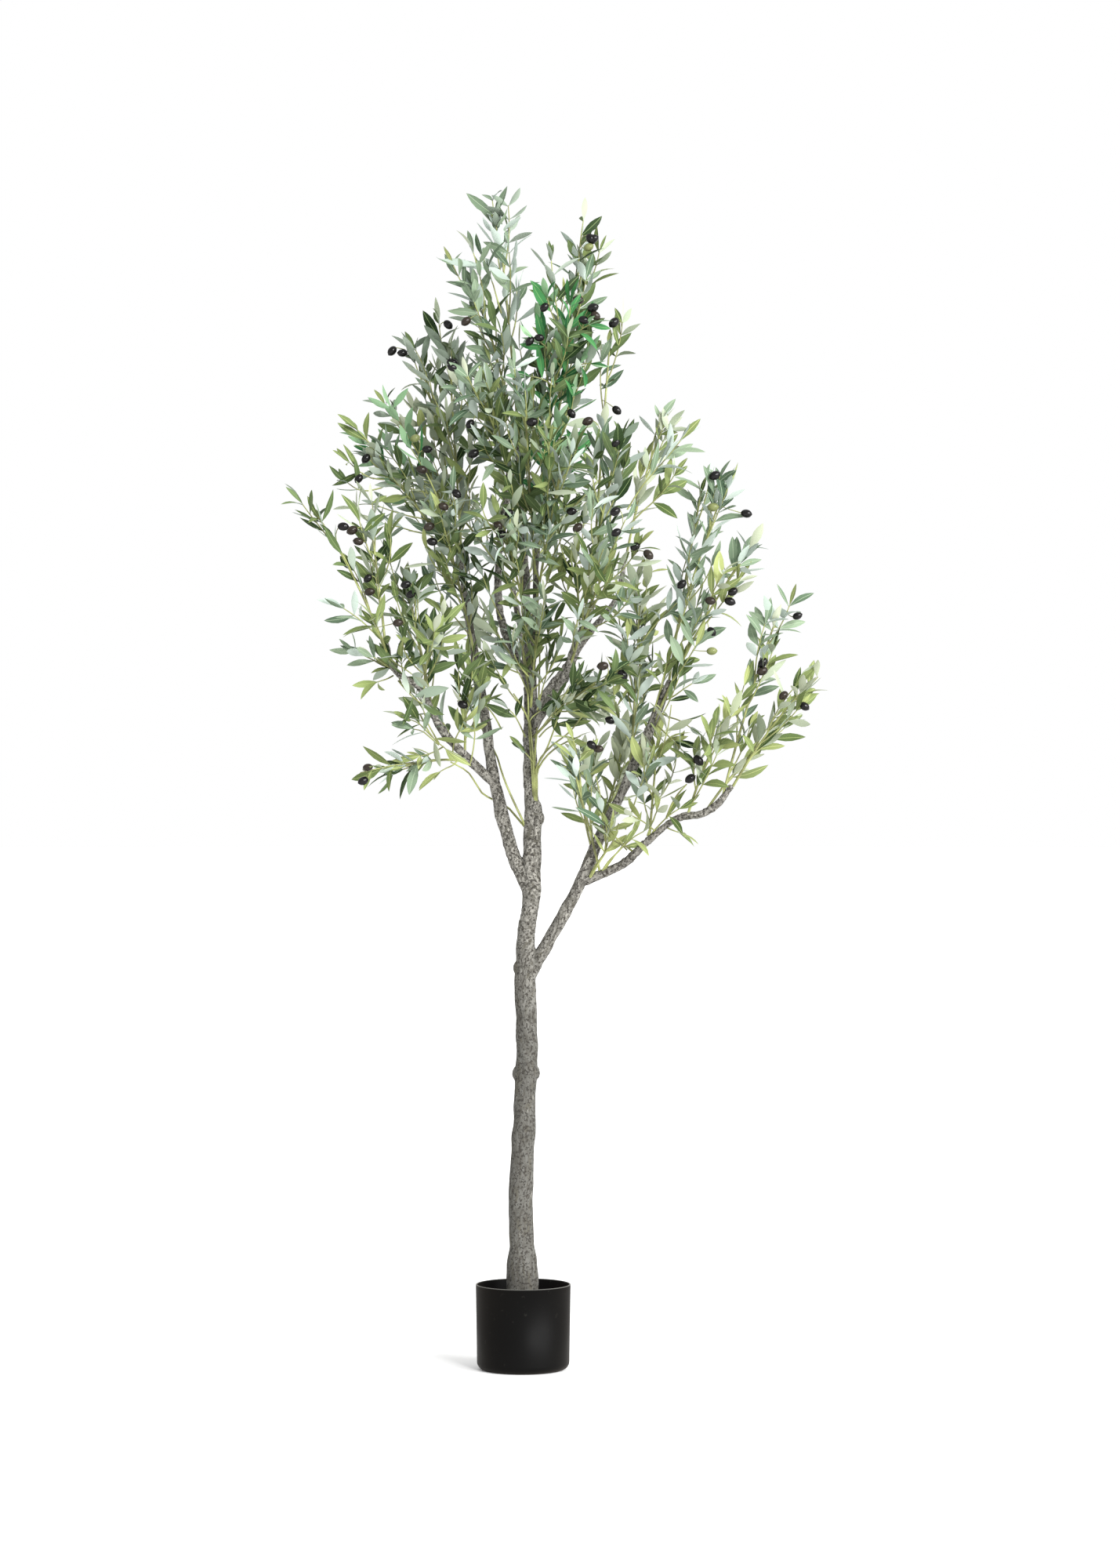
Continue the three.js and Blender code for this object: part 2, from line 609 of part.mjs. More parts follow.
const sprays = [];
for (const [limb, rows] of Object.entries(SPRAYS)) {
  for (const [name, { at, tip, bow, reach }] of Object.entries(rows)) {
    const leafLength = THREE.MathUtils.clamp(reach * LEAF_LENGTH_PER_REACH, ...LEAF_LENGTHS);
    const root = limbCurves[limb].getPointAt(at);
    const end = vector(tip);
    const aside = end.clone().sub(root).projectOnPlane(limbCurves[limb].getTangentAt(at));
    root.add(aside.setLength(STEM_SEAT * between(LIMBS[limb].radii, at)));
    const control = root.clone().lerp(end, STEM_BEND).addScaledVector(UP, bow);
    const axis = new THREE.QuadraticBezierCurve3(root, control, end);
    const stations = Array.from({ length: PLUME_STATIONS + 1 }, (_, i) => ({
      place: axis.getPointAt(i / PLUME_STATIONS),
      width: reach * plume(i / PLUME_STATIONS),
    }));
    const length = axis.getLength() - leafLength;
    const steps = Math.max(3, Math.round(length / STEM_STEP));
    const reached = length / axis.getLength();
    const places = Array.from({ length: steps + 1 }, (_, i) => axis.getPointAt(reached * i / steps));
    const stem = new Chain(places);
    const random = seeded(FIRST_SEED + sprays.length);
    sprays.push({ name, limb, stem, reach, stations, leafLength, random, pieces: [] });
  }
}
for (const spray of sprays) {
  const steps = spray.stem.points.length - 1;
  const whole = sweep(spray.stem, (t) => THREE.MathUtils.lerp(...STEM_RADII, t), TWIG_FACETS, steps);
  spray.stemSolid = grow(largestBody(whole.subtract(limbSolid(spray.limb, CLEARANCE))), spray);
}
for (const spray of sprays) {
  growStemLeaves(spray);
  growShoots(spray);
  addNode(`foliage_${spray.name}`, largestBody(wasm.Manifold.union(spray.pieces)), 'leaf');
}

export default tree;
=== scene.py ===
"""An artificial olive tree in a plain black pot, dressed over its CAD frame. Metres, +Z up.

The viewer looks along +Y. The limbs and sprays follow the part's own named sizes, and every spray is
grown again by the same rule with finer twigs, smaller leaves and more of them.
"""

import math

import bpy
import numpy as np
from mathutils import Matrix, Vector, kdtree, noise


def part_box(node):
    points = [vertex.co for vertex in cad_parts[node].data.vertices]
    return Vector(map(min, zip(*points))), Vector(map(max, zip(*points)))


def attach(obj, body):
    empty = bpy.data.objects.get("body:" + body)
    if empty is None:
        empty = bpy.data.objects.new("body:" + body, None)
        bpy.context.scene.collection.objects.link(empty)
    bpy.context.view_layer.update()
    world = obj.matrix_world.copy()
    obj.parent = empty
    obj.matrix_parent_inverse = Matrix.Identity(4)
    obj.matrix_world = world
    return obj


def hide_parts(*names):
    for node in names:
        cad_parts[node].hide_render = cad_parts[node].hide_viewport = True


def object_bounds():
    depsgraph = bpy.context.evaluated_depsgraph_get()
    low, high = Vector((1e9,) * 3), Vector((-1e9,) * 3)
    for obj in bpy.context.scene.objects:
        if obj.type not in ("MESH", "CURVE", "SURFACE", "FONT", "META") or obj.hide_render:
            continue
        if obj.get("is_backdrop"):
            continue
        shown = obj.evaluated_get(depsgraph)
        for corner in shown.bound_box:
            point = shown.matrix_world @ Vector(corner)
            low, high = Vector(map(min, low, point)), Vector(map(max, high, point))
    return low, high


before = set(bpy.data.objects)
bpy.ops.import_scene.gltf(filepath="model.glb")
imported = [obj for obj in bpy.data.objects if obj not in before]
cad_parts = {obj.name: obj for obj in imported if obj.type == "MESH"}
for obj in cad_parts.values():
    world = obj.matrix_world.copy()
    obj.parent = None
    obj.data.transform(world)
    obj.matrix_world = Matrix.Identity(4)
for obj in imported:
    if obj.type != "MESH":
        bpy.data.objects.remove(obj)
cad_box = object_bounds()

# View: a level camera a little over seven metres off, at the height of the lowest boughs, so that the
# trunk stays upright and the pot's rim shows as a narrow ellipse.
CAMERA_PLACE = (0.0667, -7.265, 1.0594)
camera = bpy.data.objects.new("camera", bpy.data.cameras.new("camera"))
camera.location = CAMERA_PLACE
camera.rotation_euler = (math.pi / 2, 0, 0)
camera.data.sensor_width = 36
camera.data.lens = 92.1
camera.data.clip_end = 200
bpy.context.scene.collection.objects.link(camera)
bpy.context.scene.camera = camera


# Studio: a wide pale floor under a plain white sky, lit by two distant soft lights, the broad one from the
# viewer's right and the weaker one from the front, which puts a glint on glossy things.
FLOOR_RADIUS = 60
FLOOR_SIDES = 96
FLOOR_COLOUR = (0.95, 0.95, 0.945, 1)
SKY_STRENGTH = 1.0
LIGHTS = {
    "broad_light": {"heading": (-0.85, 0.7, -0.45), "strength": 4.1, "spread": 40},
    "front_light": {"heading": (-0.4, 0.88, -0.35), "strength": 2.0, "spread": 12},
}


def set_input(tree, node, label, value):
    """Gives an input its value, or links it where the value is another node's output."""
    if isinstance(value, bpy.types.NodeSocket):
        tree.links.new(value, node.inputs[label])
    else:
        node.inputs[label].default_value = value


def add_node(tree, kind, output, inputs, **settings):
    """A new node's output. The kind is a shader node's name, or an effect."""
    effect_given = isinstance(kind, bpy.types.NodeTree)
    node = tree.nodes.new("ShaderNodeGroup" if effect_given else "ShaderNode" + kind)
    if effect_given:
        node.node_tree = kind
    for name, value in settings.items():
        setattr(node, name, value)
    for label, value in inputs.items():
        set_input(tree, node, label, value)
    return node.outputs[output]


def set_shader(tree, inputs):
    for label, value in inputs.items():
        set_input(tree, tree.nodes["Principled BSDF"], label, value)


def new_material(name, inputs):
    """A material and its nodes. The inputs are its shader's own values."""
    material = bpy.data.materials.new(name)
    material.use_nodes = True
    set_shader(material.node_tree, inputs)
    return material, material.node_tree


def mesh_object(name, vertices, faces, smooth=True):
    mesh = bpy.data.meshes.new(name)
    mesh.from_pydata(vertices, [], faces)
    mesh.update()
    if smooth:
        mesh.shade_smooth()
    made = bpy.data.objects.new(name, mesh)
    bpy.context.scene.collection.objects.link(made)
    return made


def turned_ring(count):
    """Points round a unit circle, as rows of cosine and sine."""
    angles = np.arange(count) * 2 * math.pi / count
    return np.column_stack([np.cos(angles), np.sin(angles)])


rim = turned_ring(FLOOR_SIDES) * FLOOR_RADIUS
floor = mesh_object("floor", [(x, y, 0) for x, y in rim], [range(FLOOR_SIDES)], smooth=False)
material, _ = new_material("floor_paint", {"Base Color": FLOOR_COLOUR, "Roughness": 0.8})
floor.data.materials.append(material)
floor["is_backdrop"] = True

world = bpy.data.worlds.new("sky")
bpy.context.scene.world = world
world.use_nodes = True
sky = world.node_tree.nodes["Background"]
sky.inputs["Strength"].default_value = SKY_STRENGTH
sky.inputs["Color"].default_value = (1, 1, 1, 1)
bpy.context.scene.view_settings.view_transform = "Standard"

for name, facts in LIGHTS.items():
    light = bpy.data.objects.new(name, bpy.data.lights.new(name, "SUN"))
    light.data.energy = facts["strength"]
    light.data.angle = math.radians(facts["spread"])
    light.rotation_euler = Vector(facts["heading"]).to_track_quat("-Z", "Y").to_euler()
    bpy.context.scene.collection.objects.link(light)


# Pot: one moulding of black plastic with a rounded foot and a thin rim, satin, with faint scuffs from
# handling, a painted highlight along the top of the rim, and dust that gives its sheen a warm tint which
# also paints a reflection at its edges. Its wall is cast with the pot and nothing is fixed to it.
POT_HEIGHT = 0.154
POT_RIM_RADIUS = 0.086
POT_FOOT_RADIUS = 0.0838
POT_FOOT_ROUNDING = 0.014
POT_WALL = 0.0026
POT_EDGE = 0.0008
POT_SIDES = 128
POT_COLOUR = (0.003, 0.003, 0.003, 1)
SCUFF_COLOUR = (0.009, 0.009, 0.008, 1)
# The colour of the painted highlight along the top of the rim.
RIM_HIGHLIGHT_COLOUR = (0.12, 0.12, 0.11, 1)
# Dust on the plastic, whose tint on the sheen also paints a warm reflection at the pot's edges.
DUST_AND_REFLECTION_TINT = (0.6, 0.45, 0.28, 1)
# How far down from the top of the rim the painted highlight reaches.
RIM_HIGHLIGHT_DEPTH = 0.0014


def ring_faces(first, rows, sides):
    """Faces between rings of points, counted from the first point of the first ring."""
    faces = []
    for low in range(first, first + (rows - 1) * sides, sides):
        for i in range(sides):
            j = (i + 1) % sides
            faces.append((low + i, low + j, low + sides + j, low + sides + i))
    return faces


def closed_rings(name, bottom, rings, top):
    """A piece made of a point, rings of points and a point."""
    sides = len(rings[0])
    vertices = [bottom]
    for ring in rings:
        vertices += ring
    vertices.append(top)
    last = len(vertices) - 1 - sides
    faces = [(0, 1 + (i + 1) % sides, 1 + i) for i in range(sides)]
    faces += ring_faces(1, len(rings), sides)
    faces += [(last + sides, last + i, last + (i + 1) % sides) for i in range(sides)]
    return mesh_object(name, vertices, faces)


def lathe(name, profile, sides):
    """A surface turned about +Z from rows of radius and height, closed at its ends on the axis."""
    ring = turned_ring(sides)
    rings = [[(x * radius, y * radius, height) for x, y in ring] for radius, height in profile[1:-1]]
    return closed_rings(name, (0, 0, profile[0][1]), rings, (0, 0, profile[-1][1]))


def arc(centre, radius, start, end, steps):
    """Points of radius and height round part of a circle, its angles in degrees."""
    angles = np.radians(np.linspace(start, end, steps))
    return [(centre[0] + radius * math.cos(a), centre[1] + radius * math.sin(a)) for a in angles]


def effect(name, inputs, outputs):
    """A shader node group with the named sockets, and its input and output nodes."""
    group = bpy.data.node_groups.new(name, "ShaderNodeTree")
    for label, (kind, value) in inputs.items():
        socket = group.interface.new_socket(label, in_out="INPUT", socket_type="NodeSocket" + kind)
        if value is not None:
            socket.default_value = value
    for label, kind in outputs.items():
        group.interface.new_socket(label, in_out="OUTPUT", socket_type="NodeSocket" + kind)
    return group, group.nodes.new("NodeGroupInput"), group.nodes.new("NodeGroupOutput")


def noise_at(tree, place, scale, detail=4, roughness=0.6):
    inputs = {"Vector": place, "Scale": scale, "Detail": detail, "Roughness": roughness}
    return add_node(tree, "TexNoise", "Fac", inputs)


def mixed(tree, mask, low, high):
    """A colour between two others by a mask. Each is a colour or the output that gives it."""
    node = tree.nodes.new("ShaderNodeMix")
    node.data_type = "RGBA"
    sockets = {socket.name: number for number, socket in enumerate(node.inputs) if socket.type == "RGBA"}
    set_input(tree, node, sockets["A"], low)
    set_input(tree, node, sockets["B"], high)
    set_input(tree, node, 0, mask)
    return [socket for socket in node.outputs if socket.type == "RGBA"][0]


def ranged(tree, value, before=(0, 1), after=(0, 1)):
    """A value moved from one range to another and held inside it."""
    ends = dict(zip(("From Min", "From Max", "To Min", "To Max"), (*before, *after)))
    return add_node(tree, "MapRange", "Result", {"Value": value, **ends})


def worked_out(tree, operation, *values, clamp=False):
    return add_node(tree, "Math", 0, dict(enumerate(values)), operation=operation, use_clamp=clamp)


def axis_of(tree, vector, axis):
    return add_node(tree, "SeparateXYZ", axis, {0: vector})


def own_place(tree):
    return add_node(tree, "TexCoord", "Object", {})


def bump_of(tree, height, distance, invert=False, **others):
    """The normal of a surface that a height raises by a distance, or sinks by it."""
    inputs = {"Height": height, "Distance": distance, **others}
    return add_node(tree, "Bump", "Normal", inputs, invert=invert)


# Speckle is shared by the plastic, the bark and the cast weight: spots where a noise passes a threshold.
SPECKLE, speckle_in, speckle_out = effect(
    "speckle",
    {"Place": ("Vector", None), "Scale": ("Float", 100), "Threshold": ("Float", 0.6),
     "Softness": ("Float", 0.1)},
    {"Mask": "Float"},
)
spots = noise_at(SPECKLE, speckle_in.outputs["Place"], speckle_in.outputs["Scale"])
above = worked_out(SPECKLE, "SUBTRACT", spots, speckle_in.outputs["Threshold"])
sharpened = worked_out(SPECKLE, "DIVIDE", above, speckle_in.outputs["Softness"], clamp=True)
set_input(SPECKLE, speckle_out, "Mask", sharpened)


def speckled(tree, place, scale, threshold, softness):
    """Speckle at a place in a material."""
    inputs = {"Place": place, "Scale": scale, "Threshold": threshold, "Softness": softness}
    return add_node(tree, SPECKLE, "Mask", inputs)


foot_centre = (POT_FOOT_RADIUS - POT_FOOT_ROUNDING, POT_FOOT_ROUNDING)
inner_foot = POT_FOOT_ROUNDING - POT_WALL
profile = [(0, 0), (foot_centre[0] * 0.5, 0), *arc(foot_centre, POT_FOOT_ROUNDING, -90, 0, 12)]
profile += [(POT_RIM_RADIUS, POT_HEIGHT - POT_EDGE)]
profile += arc((POT_RIM_RADIUS - POT_EDGE, POT_HEIGHT - POT_EDGE), POT_EDGE, 0, 90, 5)
profile += arc((POT_RIM_RADIUS - POT_WALL + POT_EDGE, POT_HEIGHT - POT_EDGE), POT_EDGE, 90, 180, 5)
profile += arc((foot_centre[0], POT_FOOT_ROUNDING), inner_foot, 0, -90, 8)
profile += [(foot_centre[0] * 0.5, POT_WALL), (0, POT_WALL)]
pot = lathe("pot_shell", profile, POT_SIDES)

# The sheen's warm tint is dust and also a painted reflection at the pot's edges.
material, tree = new_material(
    "satin_black_plastic",
    {"Specular IOR Level": 0.04, "Sheen Weight": 0.04, "Sheen Tint": DUST_AND_REFLECTION_TINT},
)
where = own_place(tree)
scuffs = speckled(tree, where, 95, 0.66, 0.05)
# Painted highlight: the top of the rim is painted lighter, standing in for the highlight along its edge.
painted_rim_highlight = ranged(tree, axis_of(tree, where, "Z"), before=(POT_HEIGHT - RIM_HIGHLIGHT_DEPTH, POT_HEIGHT))
tone = mixed(tree, scuffs, POT_COLOUR, SCUFF_COLOUR)
tone = mixed(tree, painted_rim_highlight, tone, RIM_HIGHLIGHT_COLOUR)
satin = ranged(tree, noise_at(tree, where, 14, detail=3), after=(0.36, 0.5))
orange_peel = bump_of(tree, noise_at(tree, where, 900, detail=2), 0.0001, Strength=0.12)
set_shader(tree, {"Base Color": tone, "Roughness": satin, "Normal": orange_peel})
pot.data.materials.append(material)
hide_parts("pot")
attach(pot, "root")


# Fill: dark cement cast into the pot round the foot of the trunk, which it holds. Its top is rough.
FILL_LOW, FILL_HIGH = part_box("pot_fill")
FILL_RINGS = 26
FILL_SIDES = 96
FILL_ROUGHNESS = 0.0022
FILL_CLEARANCE = 0.002


def fill_height(x, y):
    rough = noise.fractal(Vector((x, y, 0)) * 60, 0.9, 2.1, 4)
    return FILL_HIGH.z - FILL_ROUGHNESS * (0.6 + 0.4 * rough)


ring = turned_ring(FILL_SIDES)
rings = []
for radius, height in ((foot_centre[0], FILL_LOW.z), (FILL_HIGH.x - FILL_CLEARANCE, POT_FOOT_ROUNDING)):
    rings.append([(x * radius, y * radius, height) for x, y in ring])
for radius in np.linspace(FILL_HIGH.x, 0, FILL_RINGS + 1)[:-1]:
    rings.append([(x * radius, y * radius, fill_height(x * radius, y * radius)) for x, y in ring])
fill = closed_rings("cast_weight", (0, 0, FILL_LOW.z), rings, (0, 0, fill_height(0, 0)))
material, tree = new_material("dark_cement", {"Roughness": 0.95})
grit = speckled(tree, own_place(tree), 260, 0.52, 0.2)
tone = mixed(tree, grit, (0.022, 0.02, 0.018, 1), (0.05, 0.045, 0.038, 1))
set_shader(tree, {"Base Color": tone, "Normal": bump_of(tree, grit, 0.0012)})
fill.data.materials.append(material)
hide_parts("pot_fill")
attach(fill, "root")


# Bark: the trunk and boughs are steel rods in moulded grey-brown bark, one skin from the cast weight to
# the bough tips. It swells where boughs were cut or leave, with fine upright furrows, pits and pale patches.
TRUNK_ROUTE = [(-0.001, 0, 0.1), (-0.002, 0, 0.207), (-0.004, 0.002, 0.306), (0.002, 0.006, 0.448),
               (0.007, 0.002, 0.583), (0.004, -0.002, 0.697), (0.006, -0.002, 0.789), (0.014, 0, 0.846),
               (0.016, 0.002, 0.931), (0.018, 0, 1.002), (0.019, 0, 1.03)]
TRUNK_RADII = [(0.1, 0.0295), (0.155, 0.0278), (0.195, 0.0262), (0.222, 0.0226), (0.306, 0.0206),
               (0.43, 0.0201), (0.583, 0.0188), (0.715, 0.0178), (0.735, 0.0166), (0.79, 0.015),
               (0.85, 0.0156), (0.93, 0.0164), (0.96, 0.015), (1.012, 0.0152), (1.023, 0.013), (1.03, 0.008)]

# Knots: height, heading in degrees seen from above, radius and stand-out.
TRUNK_KNOTS = [(0.536, 8, 0.012, 0.005), (0.534, 176, 0.011, 0.005), (0.727, 185, 0.01, 0.0045),
               (0.915, -120, 0.009, 0.003), (0.998, -14, 0.013, 0.0045), (0.64, 90, 0.011, 0.004)]
KNOT_HEIGHT = 1.25
KNOT_ROWS = 7

# Limbs: the route from inside the parent to the tip, and rows of the share along it and the radius.
LIMBS = {
    "leader": {
        "route": [(0.016, 0, 1), (0.013, 0.003, 1.059), (0.012, 0.006, 1.144), (0.013, 0.004, 1.247),
                  (0.009, 0.006, 1.322), (-0.001, 0.014, 1.531), (-0.005, 0.01, 1.628),
                  (-0.008, 0.004, 1.705)],
        "radii": [(0, 0.0114), (0.36, 0.0104), (0.46, 0.007), (0.7, 0.0064), (1, 0.0045)],
    },
    "leader_fork": {
        "route": [(0.015, 0, 1.278), (0.021, -0.008, 1.334), (0.023, -0.022, 1.441),
                  (0.023, -0.03, 1.497)],
        "radii": [(0, 0.0068), (1, 0.005)],
    },
    "bough_right": {
        "route": [(0.01, 0, 0.712), (0.032, -0.004, 0.751), (0.086, -0.02, 0.847),
                  (0.133, -0.034, 0.949), (0.197, -0.055, 1.087), (0.265, -0.08, 1.244)],
        "radii": [(0, 0.0122), (0.12, 0.011), (0.25, 0.0106), (0.42, 0.0102), (0.55, 0.009), (1, 0.0066)],
    },
    "bough_right_side": {
        "route": [(0.112, -0.028, 0.884), (0.136, -0.038, 0.895), (0.182, -0.058, 0.917),
                  (0.228, -0.08, 0.961), (0.278, -0.1, 0.999), (0.323, -0.116, 1.007),
                  (0.351, -0.124, 1.028), (0.372, -0.13, 1.056)],
        "radii": [(0, 0.008), (0.15, 0.0066), (1, 0.0046)],
    },
    "bough_left": {
        "route": [(0.012, 0, 0.868), (-0.015, 0.004, 0.923), (-0.051, 0.022, 1.059),
                  (-0.074, 0.042, 1.206), (-0.107, 0.074, 1.406), (-0.116, 0.086, 1.497)],
        "radii": [(0, 0.0125), (0.12, 0.0112), (0.27, 0.0106), (0.36, 0.0094), (0.42, 0.0085), (0.53, 0.0077),
                  (0.8, 0.0065), (1, 0.0056)],
    },
    "bough_left_side": {
        "route": [(-0.051, 0.022, 1.059), (-0.093, 0.002, 1.099), (-0.145, -0.028, 1.155),
                  (-0.187, -0.06, 1.232), (-0.23, -0.08, 1.263), (-0.248, -0.094, 1.318)],
        "radii": [(0, 0.0084), (0.2, 0.0072), (0.45, 0.0059), (0.8, 0.005), (1, 0.0044)],
    },
    "bough_upper_right": {
        "route": [(0.016, 0, 1.158), (0.042, -0.022, 1.201), (0.08, -0.054, 1.261),
                  (0.093, -0.072, 1.302), (0.114, -0.094, 1.351), (0.125, -0.106, 1.384)],
        "radii": [(0, 0.009), (0.15, 0.008), (0.6, 0.0078), (1, 0.0064)],
    },
    "bough_back_left": {
        "route": [(0.011, 0.004, 1.242), (-0.014, 0.034, 1.292), (-0.041, 0.066, 1.364),
                  (-0.047, 0.092, 1.454), (-0.037, 0.11, 1.542), (-0.025, 0.124, 1.637)],
        "radii": [(0, 0.007), (0.15, 0.0064), (1, 0.0055)],
    },
    "bough_back_right": {
        "route": [(0.015, 0.004, 1.186), (0.046, 0.048, 1.231), (0.084, 0.092, 1.282),
                  (0.129, 0.132, 1.348), (0.17, 0.158, 1.4), (0.188, 0.176, 1.478)],
        "radii": [(0, 0.0074), (0.15, 0.0064), (1, 0.0038)],
    },
    "bough_back": {
        "route": [(0.018, 0.004, 0.96), (0.015, 0.044, 1.045), (0.014, 0.096, 1.145),
                  (0.008, 0.15, 1.247), (-0.008, 0.196, 1.351), (-0.023, 0.226, 1.432)],
        "radii": [(0, 0.0086), (0.12, 0.0074), (1, 0.004)],
    },
}

BARK_SIDES = 20
BARK_STEP = 0.006
BARK_VOXEL = 0.0021
BARK_SMOOTHING = 3
FURROW_STRETCH = 0.82

# Relief: the wavelength and depth of the skin's lumps, its ridges, and its furrows along the grain.
LUMPS = (0.034, 0.0021)
RIDGES = (0.012, 0.0013)
FURROWS = (0.006, 0.0008)
BARK_SWELL = 0.0012

# Painted light and shade: the bark is painted darker towards the foot and paler up in the crown, where
# the leaves shade it, changing from the one tone to the other between these heights.
PAINTED_SHADE_HEIGHTS = (0.6, 0.92)


class Route:
    """A line through points, read by the share of its length."""

    def __init__(self, points):
        self.points = np.asarray(points, float)
        runs = np.linalg.norm(np.diff(self.points, axis=0), axis=1)
        self.run = np.concatenate([[0], np.cumsum(runs)])
        self.length = self.run[-1]

    def at(self, share):
        place = share * self.length
        return np.array([np.interp(place, self.run, axis) for axis in self.points.T])

    def heading(self, share):
        reach = 0.002
        return unit(self.at(min(1, share + reach)) - self.at(max(0, share - reach)))


def unit(vector):
    return vector / (np.linalg.norm(vector) or 1)


def smooth_route(knots, samples=16):
    """A smooth curve through its knots that slows where they lie close together."""
    knots = [np.array(knot, float) for knot in knots]
    knots = [2 * knots[0] - knots[1], *knots, 2 * knots[-1] - knots[-2]]
    points = []
    for p0, p1, p2, p3 in zip(knots, knots[1:], knots[2:], knots[3:]):
        d0, d1, d2 = [math.sqrt(np.linalg.norm(b - a)) for a, b in ((p0, p1), (p1, p2), (p2, p3))]
        out = ((p1 - p0) / d0 - (p2 - p0) / (d0 + d1) + (p2 - p1) / d1) * d1
        into = ((p2 - p1) / d1 - (p3 - p1) / (d1 + d2) + (p3 - p2) / d2) * d1
        for t in np.linspace(0, 1, samples, endpoint=False):
            squared = (3 * (p2 - p1) - 2 * out - into) * t * t
            cubed = (2 * (p1 - p2) + out + into) * t ** 3
            points.append(p1 + out * t + squared + cubed)
    points.append(knots[-2])
    return Route(points)


def tube(points, radii, sides, first=0):
    """Vertices and faces of a closed tube along points, the faces counted from first."""
    points = np.asarray(points, float)
    headings = np.gradient(points, axis=0)
    side = np.array((1.0, 0.0, 0.0)) if abs(unit(headings[0])[0]) < 0.8 else np.array((0.0, 1.0, 0.0))
    ring = turned_ring(sides)
    rows = []
    for point, heading, radius in zip(points, headings, radii):
        heading = unit(heading)
        side = unit(side - heading * (side @ heading))
        over = np.cross(heading, side)
        rows.append(point + radius * (ring[:, :1] * side + ring[:, 1:] * over))
    faces = ring_faces(first, len(rows), sides)
    end = first + (len(rows) - 1) * sides
    faces.append(tuple(first + i for i in reversed(range(sides))))
    faces.append(tuple(end + i for i in range(sides)))
    return np.concatenate(rows), faces


def between(table, place):
    return float(np.interp(place, *zip(*table)))


trunk_route = smooth_route(TRUNK_ROUTE)
routes = {"trunk": trunk_route}
routes.update((name, smooth_route(facts["route"])) for name, facts in LIMBS.items())
trunk_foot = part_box("trunk")[0].z
bark_vertices, bark_faces = [], []
skin_samples = []


def add_to_bark(points, radii):
    made, faces = tube(points, radii, BARK_SIDES, len(bark_vertices))
    bark_vertices.extend(made.tolist())
    bark_faces.extend(faces)


for name, route in routes.items():
    shares = np.linspace(0, 1, int(route.length / BARK_STEP))
    points = [route.at(share) for share in shares]
    if name == "trunk":
        points = [point for point in points if point[2] > trunk_foot + BARK_STEP / 2]
        points.insert(0, np.array((*route.at(0.02)[:2], trunk_foot)))
        radii = [between(TRUNK_RADII, point[2]) for point in points]
    else:
        radii = [between(LIMBS[name]["radii"], share) for share in shares]
    add_to_bark(points, radii)
    skin_samples += zip(points, np.gradient(np.array(points), axis=0))

for height, heading, radius, proud in TRUNK_KNOTS:
    heights = [point[2] for point in trunk_route.points]
    share = np.interp(height, heights, trunk_route.run / trunk_route.length)
    turn = math.radians(heading)
    inwards = between(TRUNK_RADII, height) + proud - radius
    middle = trunk_route.at(share) + inwards * np.array((math.cos(turn), math.sin(turn), 0))
    tilts = np.linspace(-90, 90, KNOT_ROWS + 2)[1:-1]
    points = [middle + (0, 0, math.sin(math.radians(tilt)) * radius * KNOT_HEIGHT) for tilt in tilts]
    radii = [radius * math.cos(math.radians(tilt)) for tilt in tilts]
    add_to_bark(points, radii)

bark = mesh_object("bark_skin", bark_vertices, bark_faces)
remesh = bark.modifiers.new("one_skin", "REMESH")
remesh.mode = "VOXEL"
remesh.voxel_size = BARK_VOXEL
soften = bark.modifiers.new("soften", "SMOOTH")
soften.iterations = BARK_SMOOTHING
whole = bpy.data.meshes.new_from_object(bark.evaluated_get(bpy.context.evaluated_depsgraph_get()))
bark.modifiers.clear()
bark.data = whole

# Each point of the skin is looked up on the nearest limb, and the relief is stretched along that limb.
nearest = kdtree.KDTree(len(skin_samples))
for i, (point, heading) in enumerate(skin_samples):
    nearest.insert(Vector(point), i)
nearest.balance()
grain = []
relief = []
for vertex in whole.vertices:
    heading = Vector(unit(skin_samples[nearest.find(vertex.co)[1]][1]))
    along = heading * vertex.co.dot(heading) * FURROW_STRETCH
    place = vertex.co - along
    grain.append(place)
    lump = noise.noise(vertex.co / LUMPS[0]) * LUMPS[1]
    ridge = noise.noise(place / RIDGES[0]) * RIDGES[1]
    furrow = -abs(noise.noise(place / FURROWS[0])) * FURROWS[1]
    relief.append(vertex.co + vertex.normal * (BARK_SWELL + lump + ridge + furrow))
for vertex, place in zip(whole.vertices, relief):
    vertex.co = place
    vertex.co.z = max(vertex.co.z, trunk_foot)
whole.attributes.new("grain", "FLOAT_VECTOR", "POINT").data.foreach_set("vector", np.ravel(grain))
whole.shade_smooth()

material, tree = new_material("moulded_bark", {"Specular IOR Level": 0.25})
grain_place = add_node(tree, "Attribute", "Vector", {}, attribute_name="grain")
where = own_place(tree)
streaks = noise_at(tree, grain_place, 210, detail=6, roughness=0.7)
clouds = noise_at(tree, where, 26)
pits = speckled(tree, where, 230, 0.545, 0.06)
blotches = speckled(tree, grain_place, 90, 0.56, 0.07)
patches = speckled(tree, grain_place, 95, 0.655, 0.05)
